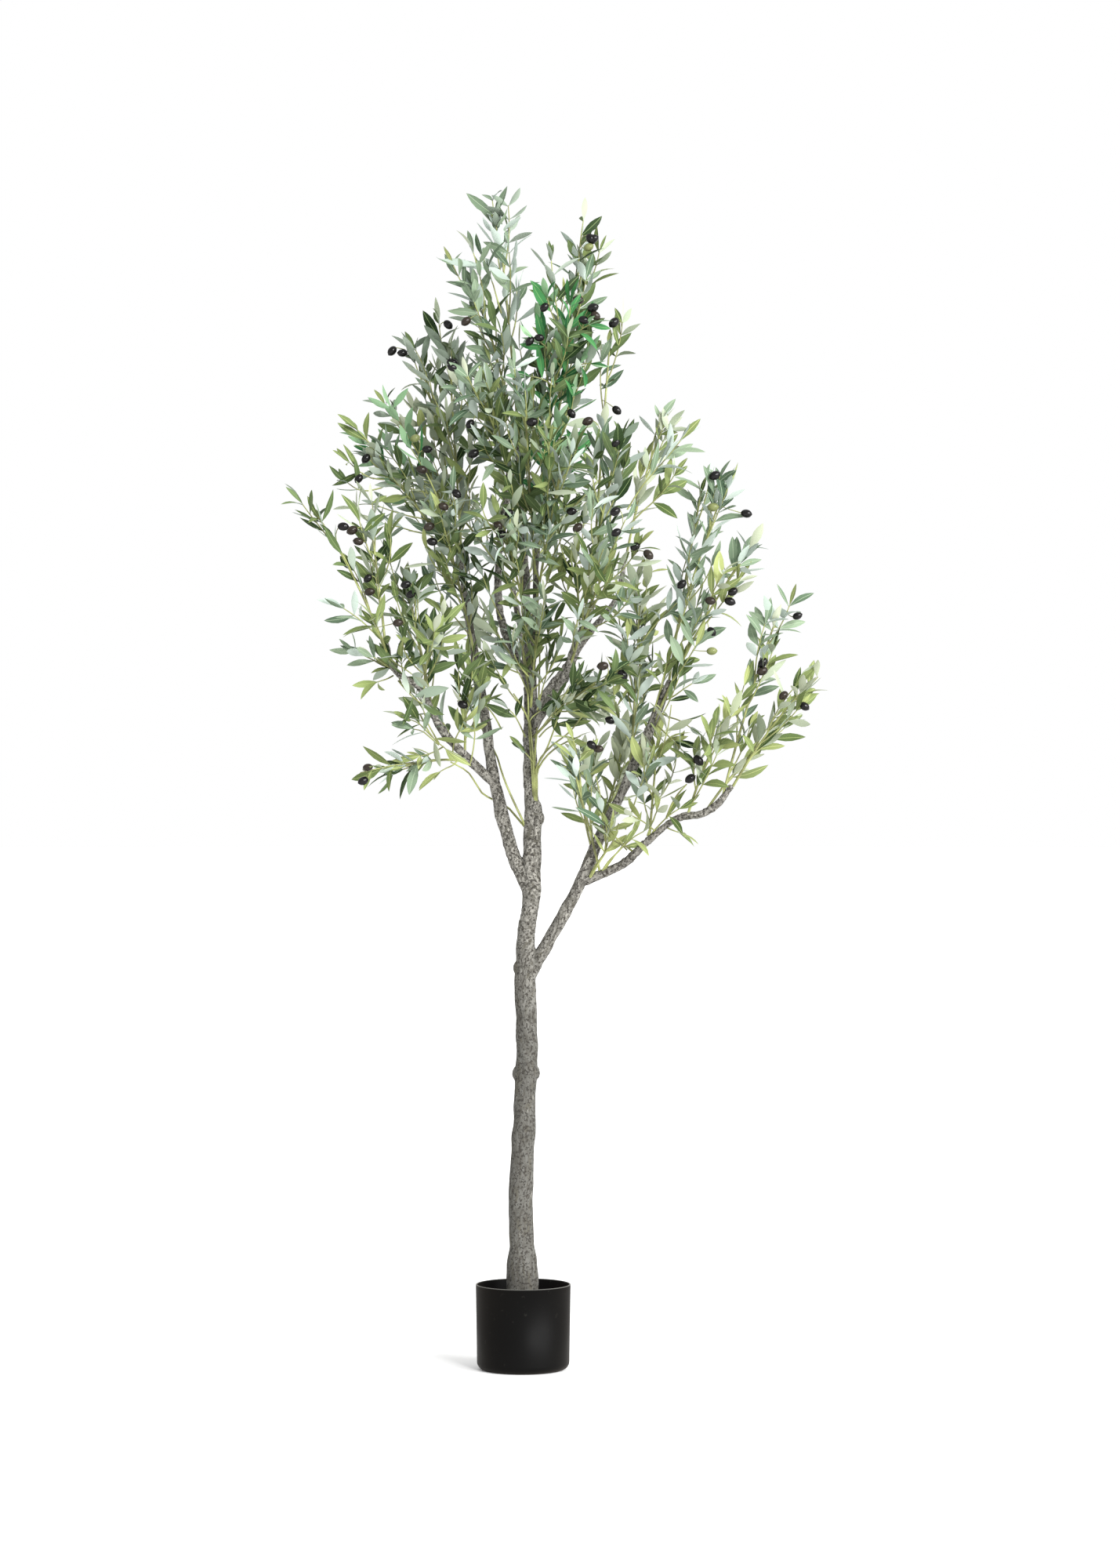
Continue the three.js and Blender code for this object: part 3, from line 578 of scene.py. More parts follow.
# Painted shade low on the trunk and painted light up in the crown, by height.
painted_by_height = ranged(tree, axis_of(tree, where, "Z"), before=PAINTED_SHADE_HEIGHTS)
low = mixed(tree, clouds, (0.07, 0.069, 0.062, 1), (0.148, 0.145, 0.131, 1))
high = mixed(tree, clouds, (0.235, 0.225, 0.2, 1), (0.335, 0.322, 0.288, 1))
tone = mixed(tree, painted_by_height, low, high)
tone = mixed(tree, ranged(tree, streaks, before=(0.4, 0.6)), (0.06, 0.056, 0.047, 1), tone)
tone = mixed(tree, patches, tone, (0.27, 0.26, 0.23, 1))
tone = mixed(tree, blotches, tone, (0.08, 0.075, 0.06, 1))
tone = mixed(tree, pits, tone, (0.04, 0.036, 0.03, 1))
dull = ranged(tree, streaks, after=(0.95, 0.75))
furrowed = bump_of(tree, streaks, 0.0016, Strength=0.8)
pitted = bump_of(tree, pits, 0.0009, invert=True, Normal=furrowed)
set_shader(tree, {"Base Color": tone, "Roughness": dull, "Normal": pitted})
bark.data.materials.clear()
bark.data.materials.append(material)
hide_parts(*routes)
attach(bark, "root")


# Stems: every spray is a wire stem coated in yellow-green plastic, pushed into a socket in the bough, with
# shoots of finer wire branching off it. A spray keeps to the plume-shaped space round its own stem.
# Rows: where the stem starts as a share of the limb, the place of its tip, how far it bows upwards, how far
# its shoots and leaves reach, how full it is, the bare share of the stem at its foot, and its leaves' dyes.
SPRAYS = {
    "bough_left_side": {
        "left_low": (0.19, (-0.27, -0.075, 1.075), 0.025, 0.034, 0.6, 0.12, "sage", "olive", "deep"),
        "left_between": (0.24, (-0.1, -0.06, 1.29), 0, 0.052, 1, 0.1, "deep", "olive"),
        "left_inner": (0.31, (-0.185, -0.02, 1.215), 0.02, 0.046, 1.1, 0.1, "deep", "olive", "sage"),
        "left_side_mid": (0.53, (-0.22, -0.02, 1.45), 0.025, 0.062, 1.1, 0.1, "deep", "sage", "olive"),
        "left_side_front": (0.64, (-0.16, -0.17, 1.36), 0.01, 0.072, 1.2, 0.1, "deep", "olive", "deep"),
        "left_side_low": (0.76, (-0.295, -0.04, 1.275), 0.025, 0.044, 1.0, 0.1, "deep", "sage", "olive"),
        "left_side_out": (0.88, (-0.285, -0.19, 1.37), 0.03, 0.036, 0.6, 0.1, "olive", "deep", "olive"),
        "left_tip_out": (0.94, (-0.4, -0.14, 1.58), 0.06, 0.03, 0.35, 0.25, "deep", "olive"),
        "left_tip": (1, (-0.28, -0.06, 1.56), 0.04, 0.048, 0.7, 0.1, "deep", "olive", "olive"),
    },
    "bough_left": {
        "left_mid": (0.69, (-0.15, -0.12, 1.56), 0.02, 0.06, 1.1, 0.1, "deep", "olive", "sage"),
        "left_high_out": (0.9, (-0.315, 0.01, 1.695), 0.06, 0.052, 0.9, 0.1, "deep", "bright", "olive"),
        "left_top_inner": (0.94, (-0.14, 0.04, 1.9), 0.02, 0.054, 0.9, 0.1, "deep", "deep", "olive"),
        "left_high": (0.97, (-0.235, 0.07, 1.745), 0.05, 0.06, 0.9, 0.1, "deep", "bright", "deep", "lime"),
        "left_top": (1, (-0.2, 0.11, 1.86), 0.08, 0.042, 0.6, 0.15, "olive", "deep", "olive"),
    },
    "leader": {
        "dark_front": (0.2, (0.17, -0.2, 1.265), 0.02, 0.05, 0.85, 0.15, "deep", "deep"),
        "centre_low": (0.27, (0.03, -0.12, 1.385), 0.02, 0.062, 1.0, 0.1, "olive", "deep", "sage"),
        "centre_left": (0.5, (-0.045, -0.2, 1.555), 0.02, 0.066, 1.25, 0.1, "olive", "sage", "deep", "sage"),
        "upper_left": (0.76, (-0.09, -0.13, 1.79), 0.04, 0.064, 1, 0.1, "deep", "sage", "olive"),
        "top_left": (0.94, (-0.105, -0.05, 2.005), 0.06, 0.046, 1.05, 0.15, "sage", "deep", "sage"),
        "top": (1, (-0.05, 0, 2.13), 0.03, 0.052, 0.65, 0.4, "sage", "deep", "sage", "deep"),
    },
    "leader_fork": {
        "upper_front": (0.5, (0.08, -0.25, 1.665), 0.02, 0.064, 0.9, 0.1, "sage", "olive", "deep"),
        "upper_mid": (0.72, (0, -0.15, 1.78), 0.02, 0.06, 0.9, 0.1, "olive", "sage", "deep"),
        "bright": (0.86, (0.07, -0.11, 1.91), 0.02, 0.064, 1.4, 0.2, "bright", "bright", "bright", "deep"),
        "top_right": (1, (0.12, -0.02, 2.06), 0.03, 0.048, 0.8, 0.1, "deep", "sage", "olive"),
    },
    "bough_upper_right": {
        "right_front": (0.54, (0.17, -0.27, 1.485), 0.03, 0.062, 1.1, 0.1, "olive", "sage", "olive"),
        "right_inner": (0.78, (0.09, -0.06, 1.515), 0.01, 0.06, 1, 0.1, "deep", "olive", "lime"),
        "right_high": (0.82, (0.175, -0.17, 1.695), 0.02, 0.056, 0.95, 0.1, "sage", "deep", "sage", "deep"),
        "right_top": (1, (0.16, -0.08, 1.9), 0.04, 0.038, 0.55, 0.72, "deep", "sage", "olive"),
    },
    "bough_right": {
        "right_low_in": (0.44, (0.11, 0.01, 1.135), 0.01, 0.05, 0.95, 0.1, "olive", "sage", "lime"),
        "right_low_rear": (0.47, (0.2, 0.07, 1.17), 0.01, 0.058, 1.0, 0.1, "lime", "olive", "sage"),
        "right_pale": (0.71, (0.215, 0.02, 1.43), 0.01, 0.058, 1.2, 0.1, "sage", "olive", "lime"),
        "right_wide": (0.82, (0.42, -0.18, 1.495), 0.06, 0.038, 0.5, 0.25, "sage", "lime", "sage"),
        "right_far": (0.9, (0.37, -0.12, 1.61), 0.05, 0.038, 0.65, 0.2, "sage", "olive", "sage"),
        "right_spire": (1, (0.33, -0.06, 1.635), 0.02, 0.03, 0.45, 0.6, "sage", "olive"),
    },
    "bough_right_side": {
        "side_foot": (0.1, (0.08, -0.11, 1.13), 0.005, 0.038, 0.7, 0.55, "sage", "lime", "sage"),
        "side_inner": (0.45, (0.245, -0.08, 1.17), 0.01, 0.058, 1.0, 0.1, "olive", "deep", "lime"),
        "side_mid": (0.7, (0.36, -0.19, 1.175), 0.02, 0.046, 0.8, 0.1, "olive", "olive", "lime"),
        "side_tip_low": (0.8, (0.47, -0.07, 1.16), 0.03, 0.032, 0.35, 0.1, "lime", "olive"),
        "side_tip_out": (1, (0.53, -0.17, 1.26), 0.03, 0.038, 0.6, 0.15, "olive", "sage", "lime"),
        "side_tip": (0.93, (0.47, -0.11, 1.4), 0.04, 0.038, 0.5, 0.1, "sage", "olive", "lime"),
    },
    "bough_back_right": {
        "right_crest": (1, (0.285, 0.14, 1.765), 0.09, 0.03, 0.4, 0.1, "olive", "sage", "lime"),
    },
    "bough_back_left": {
        "back_left_out": (0.58, (-0.225, 0.27, 1.64), 0.05, 0.062, 0.75, 0.1, "olive", "deep"),
        "back_left": (1, (-0.1, 0.2, 1.875), 0.03, 0.062, 0.75, 0.1, "deep", "olive"),
    },
    "bough_back": {
        "back_low_right": (0.48, (0.165, 0.22, 1.2), 0.04, 0.06, 1, 0.1, "lime", "olive"),
        "back_low_left": (0.61, (-0.095, 0.24, 1.375), 0.04, 0.062, 1, 0.1, "deep", "olive"),
        "back_right": (0.95, (0.145, 0.335, 1.64), 0.04, 0.064, 0.75, 0.1, "olive", "deep"),
        "back_mid": (1, (-0.005, 0.29, 1.735), 0.02, 0.068, 0.75, 0.1, "deep", "olive"),
    },
}
FIRST_SEED = 2300
GOLDEN_ANGLE = math.pi * (3 - math.sqrt(5))
UP = np.array((0.0, 0.0, 1.0))
STEM_SEAT = 0.6
STEM_BEND = 0.45
STEM_RADII = (0.0025, 0.0017)
STEM_STEP = 0.02
PLUME_STATIONS = 18
PLUME_FOOT = 0.45
PLUME_FULL_FROM = 0.45
PLUME_NARROWS_FROM = 0.8
PLUME_NARROWING = 0.3
SHOOT_RADII = (0.0016, 0.001)
SHOOT_STEPS = 6
LAST_SHOOT = 0.93
SHOOT_SPACING = 0.023
SHOOT_JITTER = 0.6
SHOOT_LENGTHS = (0.07, 0.125)
SHOOT_OFFSETS = (0.25, 1.0)
LEAF_LENGTH = 0.06
STEM_SIDES = 7
TWIG_SIDES = 5
NEIGHBOUR_SHARE = 0.5
AXIS_SAMPLES = 60
STEM_SAMPLES = 50
LIMB_SAMPLES = 120
LIMB_CLEARANCE = 0.002


def seeded(seed):
    """Numbers between 0 and 1 that are the same on every run."""
    state = seed

    def draw():
        nonlocal state
        state = (state * 1664525 + 1013904223) % 4294967296
        return state / 4294967296

    return draw


def eased(value, low, high):
    t = min(1, max(0, (value - low) / (high - low)))
    return t * t * (3 - 2 * t)


def plume(t):
    """How wide a spray's space is, as a share of its reach, at a share of its stem."""
    filled = PLUME_FOOT + (1 - PLUME_FOOT) * eased(t, 0, PLUME_FULL_FROM)
    return filled - PLUME_NARROWING * eased(t, PLUME_NARROWS_FROM, 1)


def around(heading, angle):
    """A direction square to a heading, turned about it by an angle."""
    across = np.cross(heading, UP)
    across = unit(across) if across @ across > 1e-3 else np.array((1.0, 0.0, 0.0))
    return across * math.cos(angle) + np.cross(across, heading) * math.sin(angle)


def lean(heading, out, angle):
    """A heading turned by an angle towards a direction that is square to it."""
    return heading * math.cos(angle) + out * math.sin(angle)


def mix(low, high, share):
    return low + (high - low) * share


class Spray:
    """One stem's place, space, dye and random draws."""

    def __init__(self, name, limb, row, index):
        at, tip, bow, self.reach, self.fullness, self.bare, *self.dyes = row
        self.name, self.index = name, index
        self.draw = seeded(FIRST_SEED + index)
        end = np.array(tip, float)
        root = routes[limb].at(at)
        heading = routes[limb].heading(at)
        aside = (end - root) - heading * ((end - root) @ heading)
        root = root + unit(aside) * STEM_SEAT * between(LIMBS[limb]["radii"], at)
        control = mix(root, end, STEM_BEND) + UP * bow
        shares = np.linspace(0, 1, AXIS_SAMPLES)[:, None]
        axis = Route(root * (1 - shares) ** 2 + 2 * control * shares * (1 - shares) + end * shares ** 2)
        stations = [i / PLUME_STATIONS for i in range(PLUME_STATIONS + 1)]
        self.places = np.array([axis.at(station) for station in stations])
        self.widths = self.reach * np.array([plume(station) for station in stations])
        reached = 1 - LEAF_LENGTH / axis.length
        self.stem = Route([axis.at(share) for share in np.linspace(0, reached, STEM_SAMPLES)])


class Bundle:
    """One joined piece in the making: its points, faces, the finish of each face and a mark on each point."""

    def __init__(self):
        self.vertices, self.faces, self.finishes, self.marks = [], [], [], []

    def add(self, vertices, faces, finishes=None, marks=None):
        first = len(self.vertices)
        self.vertices += np.asarray(vertices).tolist()
        self.faces += [tuple(first + i for i in face) for face in faces]
        self.finishes += finishes if finishes is not None else [0] * len(faces)
        self.marks += marks if marks is not None else [(0, 0, 0)] * len(vertices)

    def piece(self, name, materials, slot, nodes):
        made = mesh_object(name, self.vertices, self.faces)
        marks = made.data.attributes.new("mark", "FLOAT_VECTOR", "POINT")
        marks.data.foreach_set("vector", np.ravel(self.marks))
        for material in materials:
            made.data.materials.append(material)
        made.data.polygons.foreach_set("material_index", self.finishes)
        made.data.set_sharp_from_angle(angle=math.radians(75))
        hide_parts(*nodes)
        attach(made, "root")
        return made


def grow_twig(bundle, route, radii, steps, sides=TWIG_SIDES):
    shares = np.linspace(0, 1, steps + 1)
    bundle.add(*tube([route.at(t) for t in shares], [mix(*radii, t) for t in shares], sides))


def shoot_of(spray, start, angle, offset, length):
    """A shoot leaves the stem at a share of it and runs beside it, easing outwards to its offset."""
    stem = spray.stem
    out = around(stem.heading(start), angle)
    points = []
    for t in np.linspace(0, 1, SHOOT_STEPS + 1):
        along = start + t * length / stem.length
        beyond = stem.heading(1) * max(0, along - 1) * stem.length
        points.append(stem.at(min(1, along)) + beyond + out * offset * (1 - (1 - t) ** 2))
    return Route(points)


sprays = []
for limb, rows in SPRAYS.items():
    for name, row in rows.items():
        sprays.append(Spray(name, limb, row, len(sprays)))
station_places = np.concatenate([spray.places for spray in sprays])
station_widths = np.concatenate([spray.widths for spray in sprays])
limb_places, limb_radii = [], []
for name, route in routes.items():
    for share in np.linspace(0, 1, LIMB_SAMPLES):
        place = route.at(share)
        limb_places.append(place)
        table, at = (TRUNK_RADII, place[2]) if name == "trunk" else (LIMBS[name]["radii"], share)
        limb_radii.append(between(table, at))
limb_places, limb_radii = np.array(limb_places), np.array(limb_radii)


def off_limbs(point):
    return (np.linalg.norm(limb_places - point, axis=1) - limb_radii).min() > LIMB_CLEARANCE


def fits(spray, point, limit=1.0, spare=0.0):
    """True for a point that is near enough to the spray's own space and clear of the limbs."""
    if spray.index is None:
        return off_limbs(point)
    aways = np.linalg.norm(station_places - point, axis=1)
    own = slice(spray.index * (PLUME_STATIONS + 1), (spray.index + 1) * (PLUME_STATIONS + 1))
    if (aways[own] - station_widths[own] * limit).min() > spare:
        return False
    if (aways / station_widths).min() < (aways[own] / station_widths[own]).min() * NEIGHBOUR_SHARE:
        return False
    return off_limbs(point)


# Leaves: printed leaf cloth, deep green above and pale grey-green below, stiffened by a pale moulded rib.
# They are pressed in pairs onto the shoots and the end of the stem, each pair a quarter turn from the last.
LEAF_STATIONS = (0, 0.06, 0.18, 0.36, 0.56, 0.76, 0.91)
LEAF_OUTLINE = (0.06, 0.14, 0.46, 0.86, 1.0, 0.76, 0.36)
LEAF_ROW = 5
LEAF_HALF_WIDTH = 0.143
LEAF_RIB = 0.0005
LEAF_THICKNESS = 0.0009
LEAF_FOLD = 0.22
LEAF_SPLAY = (18, 66)
LEAF_CURL = (-0.2, 0.42)
LEAF_SWAY = 0.17
LEAF_TWIST = 0.7
LEAF_SIZES = (0.7, 1.12)
YOUNG_SIZE = 0.8
YOUNG_SHARE = 0.4
END_LEAF = 0.995
END_PAIR = 0.98
LEAF_WIDTHS = (0.74, 1.12)
LEAF_SPARE = 0.022
LEAF_STRAY = 1.35
BEYOND_FRAME = 0.025
PAIR_SPACING = 0.0215
FIRST_PAIR = 0.25
LAST_PAIR = 0.96
STEM_PAIR_SPACING = 0.028

# How a leaf's upper face is turned: towards its stem, upwards, to the outside of the crown, and at random.
FACE_INWARDS = 0.35
FACE_UP = 0.35
FACE_OUT = 0.5
FACE_STRAY = 1.25


# The strips round a leaf: which two points of a row each lies between, and its finish.
ABOVE, RIB, BELOW = range(3)
LEAF_STRIPS = ((0, 1, ABOVE), (1, 2, RIB), (2, 3, ABOVE), (3, 4, BELOW), (4, 0, BELOW))


def leaf_faces():
    """A leaf's faces and their finishes. A row of its points is edge, rib, rib, edge, middle."""
    faces, finishes = [(0, 4, 3, 2, 1)], [BELOW]
    last = (len(LEAF_STATIONS) - 1) * LEAF_ROW
    for low in range(0, last, LEAF_ROW):
        high = low + LEAF_ROW
        for a, b, finish in LEAF_STRIPS:
            face = (low + a, low + b, high + b, high + a)
            # The faces below start a corner later, so that they split the same way as those above.
            faces.append((*face[1:], face[0]) if finish == BELOW else face)
            finishes.append(finish)
    for a, b, finish in LEAF_STRIPS:
        faces.append((last + a, last + b, last + LEAF_ROW))
        finishes.append(finish)
    return faces, finishes


LEAF_FACES, LEAF_FINISHES = leaf_faces()


def leaf_points(base, heading, face, length, width, curl, sway, twist, tone):
    """Points of one leaf from its stalk end to its point, and the mark on each: across, along and tone."""
    face = unit(face - heading * (face @ heading))
    across = np.cross(face, heading)
    points, marks = [], []
    for along, share in zip(LEAF_STATIONS, LEAF_OUTLINE):
        turn = twist * along
        side = across * math.cos(turn) + face * math.sin(turn)
        over = face * math.cos(turn) - across * math.sin(turn)
        middle = base + heading * along * length + (across * sway - face * curl) * length * along ** 2
        half = share * width
        rib = min(LEAF_RIB, half * 0.5)
        for out, lift in ((half, LEAF_FOLD * half), (rib, 0), (-rib, 0), (-half, LEAF_FOLD * half)):
            points.append(middle + side * out + over * lift)
            marks.append((out / half, along, tone))
        points.append(middle - over * LEAF_THICKNESS * (1.1 - along))
        marks.append((0, along, tone))
    points.append(base + heading * length + (across * sway - face * curl) * length)
    marks.append((0, 1, tone))
    return points, marks


frame_low, frame_high = np.array(cad_box)
YOUNG_DYES = {"deep": "olive", "olive": "lime", "sage": "lime"}
leaves = {}
leaf_nodes = {}


def grow_leaf(spray, base, heading, inwards, dye, size=1.0):
    draw = spray.draw
    length = LEAF_LENGTH * mix(*LEAF_SIZES, draw()) * size
    width = length * LEAF_HALF_WIDTH * mix(*LEAF_WIDTHS, draw())
    curl, sway = mix(*LEAF_CURL, draw()), LEAF_SWAY * (2 * draw() - 1)
    twist, tone = LEAF_TWIST * (2 * draw() - 1), draw()
    stray = np.array([2 * draw() - 1, 2 * draw() - 1, 2 * draw() - 1])
    outwards = np.array((0, math.copysign(1, base[1]), 0))
    face = inwards * FACE_INWARDS + UP * FACE_UP + outwards * FACE_OUT + stray * FACE_STRAY
    points, marks = leaf_points(base, heading, face, length, width, curl, sway, twist, tone)
    beyond = max(*(frame_low - np.min(points, axis=0)), *(np.max(points, axis=0) - frame_high))
    if beyond > BEYOND_FRAME or not fits(spray, points[-1], LEAF_STRAY, LEAF_SPARE):
        return
    leaves.setdefault(dye, Bundle()).add(points, LEAF_FACES, LEAF_FINISHES, marks)
    leaf_nodes.setdefault(dye, set()).add("foliage_" + spray.name)


def grow_pair(spray, base, heading, angle, dye, size=1.0):
    for side in (0, math.pi):
        splay = math.radians(mix(*LEAF_SPLAY, spray.draw()))
        out = around(heading, angle + side)
        grow_leaf(spray, base, lean(heading, out, splay), lean(heading, out, splay - math.pi / 2), dye, size)


def grow_end(spray, route, turn, dye):
    """The leaf at the end of a twig and the close pair beside it, smaller and often paler than the rest."""
    heading = route.heading(1)
    young = YOUNG_DYES.get(dye, dye) if spray.draw() < YOUNG_SHARE else dye
    grow_leaf(spray, route.at(END_LEAF), heading, around(heading, turn), young, YOUNG_SIZE)
    grow_pair(spray, route.at(END_PAIR), heading, turn, dye, YOUNG_SIZE)


def grow_pairs(spray, route, first, spacing, turn, dye):
    """Pairs from near the end of a twig back to its first pair."""
    pairs = round(route.length * (LAST_PAIR - first) / spacing)
    for k in range(1, pairs):
        at = mix(LAST_PAIR, first, k / pairs)
        grow_pair(spray, route.at(at), route.heading(at), turn + k * math.pi / 2, dye)


# Olives: glossy plastic, most of them ripe black, each on a short stalk from the nearest twig. The rows are
# those that stand out in the crown, by their places in the photograph: pixels across and down.
OLIVE_LENGTH = 0.0205
OLIVE_WIDTH = 0.0154
OLIVE_SIZES = (0.86, 1.04)
OLIVE_SIDES = 14
OLIVE_RINGS = 9
OLIVE_REACH = 0.05
OLIVE_FRONT = 0.3
OLIVE_FORWARD = 0.016
OLIVE_DROOP = (-0.5, 1.4)
OLIVE_POINT = 0.0009
STALK_RADII = (0.0006, 0.0009)
STALK_STEPS = 4
OLIVE_TURN = 0.3
STALK_BEND = 0.6
STALK_SAG = 0.003
STALK_SEAT = 0.002

# What was read off the photograph is placed by the size of a pixel at the trunk, in metres, and by
# how many millimetres behind the trunk's middle it is taken to lie. One guess serves all the olives.
PIXEL = 0.00142
PICTURE_MIDDLE = (714.5, 1000)
OLIVE_DEPTH = -101.7
OLIVES = {
    "black": [
        (495, 433), (508, 436), (569, 403), (575, 454), (563, 469), (578, 474), (676, 438), (688, 434),
        (695, 395), (745, 412), (756, 396), (783, 411), (754, 301), (787, 523), (800, 526), (785, 537),
        (816, 546), (729, 529), (785, 571), (679, 542), (463, 579), (455, 606), (544, 570), (583, 632),
        (650, 658), (640, 684), (729, 655), (783, 661), (785, 687), (808, 704), (440, 674), (470, 738),
        (520, 748), (526, 760), (552, 692), (881, 608), (911, 608), (951, 657), (869, 747), (933, 757),
        (930, 769), (907, 807), (821, 797), (793, 862), (779, 918), (755, 950), (774, 968), (890, 970),
        (880, 993), (1017, 786), (972, 846), (1023, 902), (590, 898), (463, 996), (600, 540), (604, 578),
        (757, 301),
    ],
    "brown": [
        (594, 407), (738, 378), (760, 406), (750, 541), (537, 596), (567, 648), (636, 673), (737, 677),
        (825, 714), (449, 676), (457, 690), (472, 755), (510, 797), (548, 673), (905, 768), (768, 852),
        (763, 955), (971, 857), (997, 888), (469, 979),
    ],
    "green": [
        (751, 312), (528, 556), (909, 648), (907, 832),
    ],
}
olives = Bundle()


def read_place(across, down, behind):
    """The place in metres of a pixel, taken to lie some millimetres behind the trunk's middle."""
    pixel = PIXEL * (1 - behind / 1000 / CAMERA_PLACE[1])
    x = CAMERA_PLACE[0] + (across - PICTURE_MIDDLE[0]) * pixel
    z = CAMERA_PLACE[2] + (PICTURE_MIDDLE[1] - down) * pixel
    return tuple(round(value, 3) for value in (x, behind / 1000, z))


def grow_olive(across, height, ripeness, draw):
    """An olive lies across the view at its place, just in front of the twig that carries it."""
    cost = np.hypot(twig_places[:, 0] - across, twig_places[:, 2] - height) + twig_places[:, 1] * OLIVE_FRONT
    base = twig_places[cost.argmin()]
    middle = np.array((across, max(base[1] - OLIVE_FORWARD, frame_low[1] - OLIVE_FORWARD), height))
    if np.linalg.norm(middle - base) > OLIVE_REACH:
        return
    hang = unit((math.copysign(1, across - base[0]), -OLIVE_TURN * draw(), -mix(*OLIVE_DROOP, draw())))
    size = mix(*OLIVE_SIZES, draw())
    foot = middle - hang * OLIVE_LENGTH / 2 * size
    stalk = Route([base, mix(base, foot, STALK_BEND) - hang * STALK_SAG, foot + hang * STALK_SEAT])
    grow_twig(stems, stalk, STALK_RADII, STALK_STEPS)
    tilts = np.radians(np.linspace(-88, 90, OLIVE_RINGS + 1))
    points = [middle + hang * math.sin(tilt) * OLIVE_LENGTH / 2 * size for tilt in tilts]
    points[-1] = points[-1] + hang * OLIVE_POINT
    radii = [math.cos(tilt) * OLIVE_WIDTH / 2 * size + 0.0001 for tilt in tilts]
    made, faces = tube(points, radii, OLIVE_SIDES)
    olives.add(made, faces, [list(OLIVES).index(ripeness)] * len(faces))


# Wires: thin green stems that come out of the trunk's shoulder and the forks in loose bunches, lie along the
# limbs and run up into the sprays. Rows are the places that each one passes, read off the photograph: pixels
# across and down, and millimetres behind the trunk's middle, which are a guess.
WIRE_RADII = (0.0022, 0.0013)
WIRE_STEP = 0.02
WIRES = [
    # From the shoulder, along the leader.
    [(681.0, 1026, -2), (680.2, 1003, -14), (678, 970, -14), (675, 935, -13), (673.5, 895, -12),
     (672, 850, -14), (660, 800, -30)],
    [(682.6, 1026, -3), (682.2, 1000, -13), (682.5, 965, -12), (685, 930, -10), (687.3, 890, -6),
     (688.3, 840, -6), (688, 790, -12)],
    [(684.0, 1026, -3), (684.2, 1003, -12), (685, 985, -14), (696, 966, -26), (715, 951, -50),
     (740, 939, -80)],
    [(683.0, 1026, -6), (683.4, 1003, -15), (684.5, 980, -18), (696, 958, -34), (706, 932, -60),
     (712, 915, -90)],
    [(682.0, 1026, -6), (681.8, 1003, -16), (681, 978, -17), (678.5, 950, -17), (676, 925, -18),
     (668, 905, -30), (655, 885, -44)],
    [(684.4, 1026, -5), (684.8, 1000, -13), (686, 975, -16), (700, 955, -30), (726, 934, -56),
     (742, 915, -80)],
    # From the trunk's left side below the shoulder.
    [(670, 1054, -4), (656, 1024, -6), (646, 1000, 0), (640, 985, 4), (633, 962, 34), (612, 925, 30)],
    [(669, 1054, 0), (660, 1043, 14), (646, 1028, 34), (628, 1019, 34), (616, 1012, 20), (606, 998, 6),
     (597, 985, -10), (575, 972, -40)],
    # From the fork of the right bough.
    [(750, 1122, -32), (762, 1100, -46), (774, 1085, -60), (771.5, 1067, -66), (768.6, 1048, -70),
     (766.5, 1020, -76), (760, 990, -84)],
    [(751, 1124, -34), (757, 1112, -46), (771, 1090, -66), (784, 1070, -90), (789, 1050, -110)],
    [(768, 1112, -44), (776, 1100, -60), (786, 1089, -76), (800, 1072, -96)],
    [(754, 1080, -34), (749, 1058, -50), (745.6, 1038, -62), (741, 1016, -74), (738, 995, -84)],
    [(808, 1086, -66), (800, 1081, -80), (790, 1072, -92), (778, 1062, -104)],
    [(850, 1044, -92), (857, 1027, -104), (864, 1014, -116), (876, 1000, -130)],
]

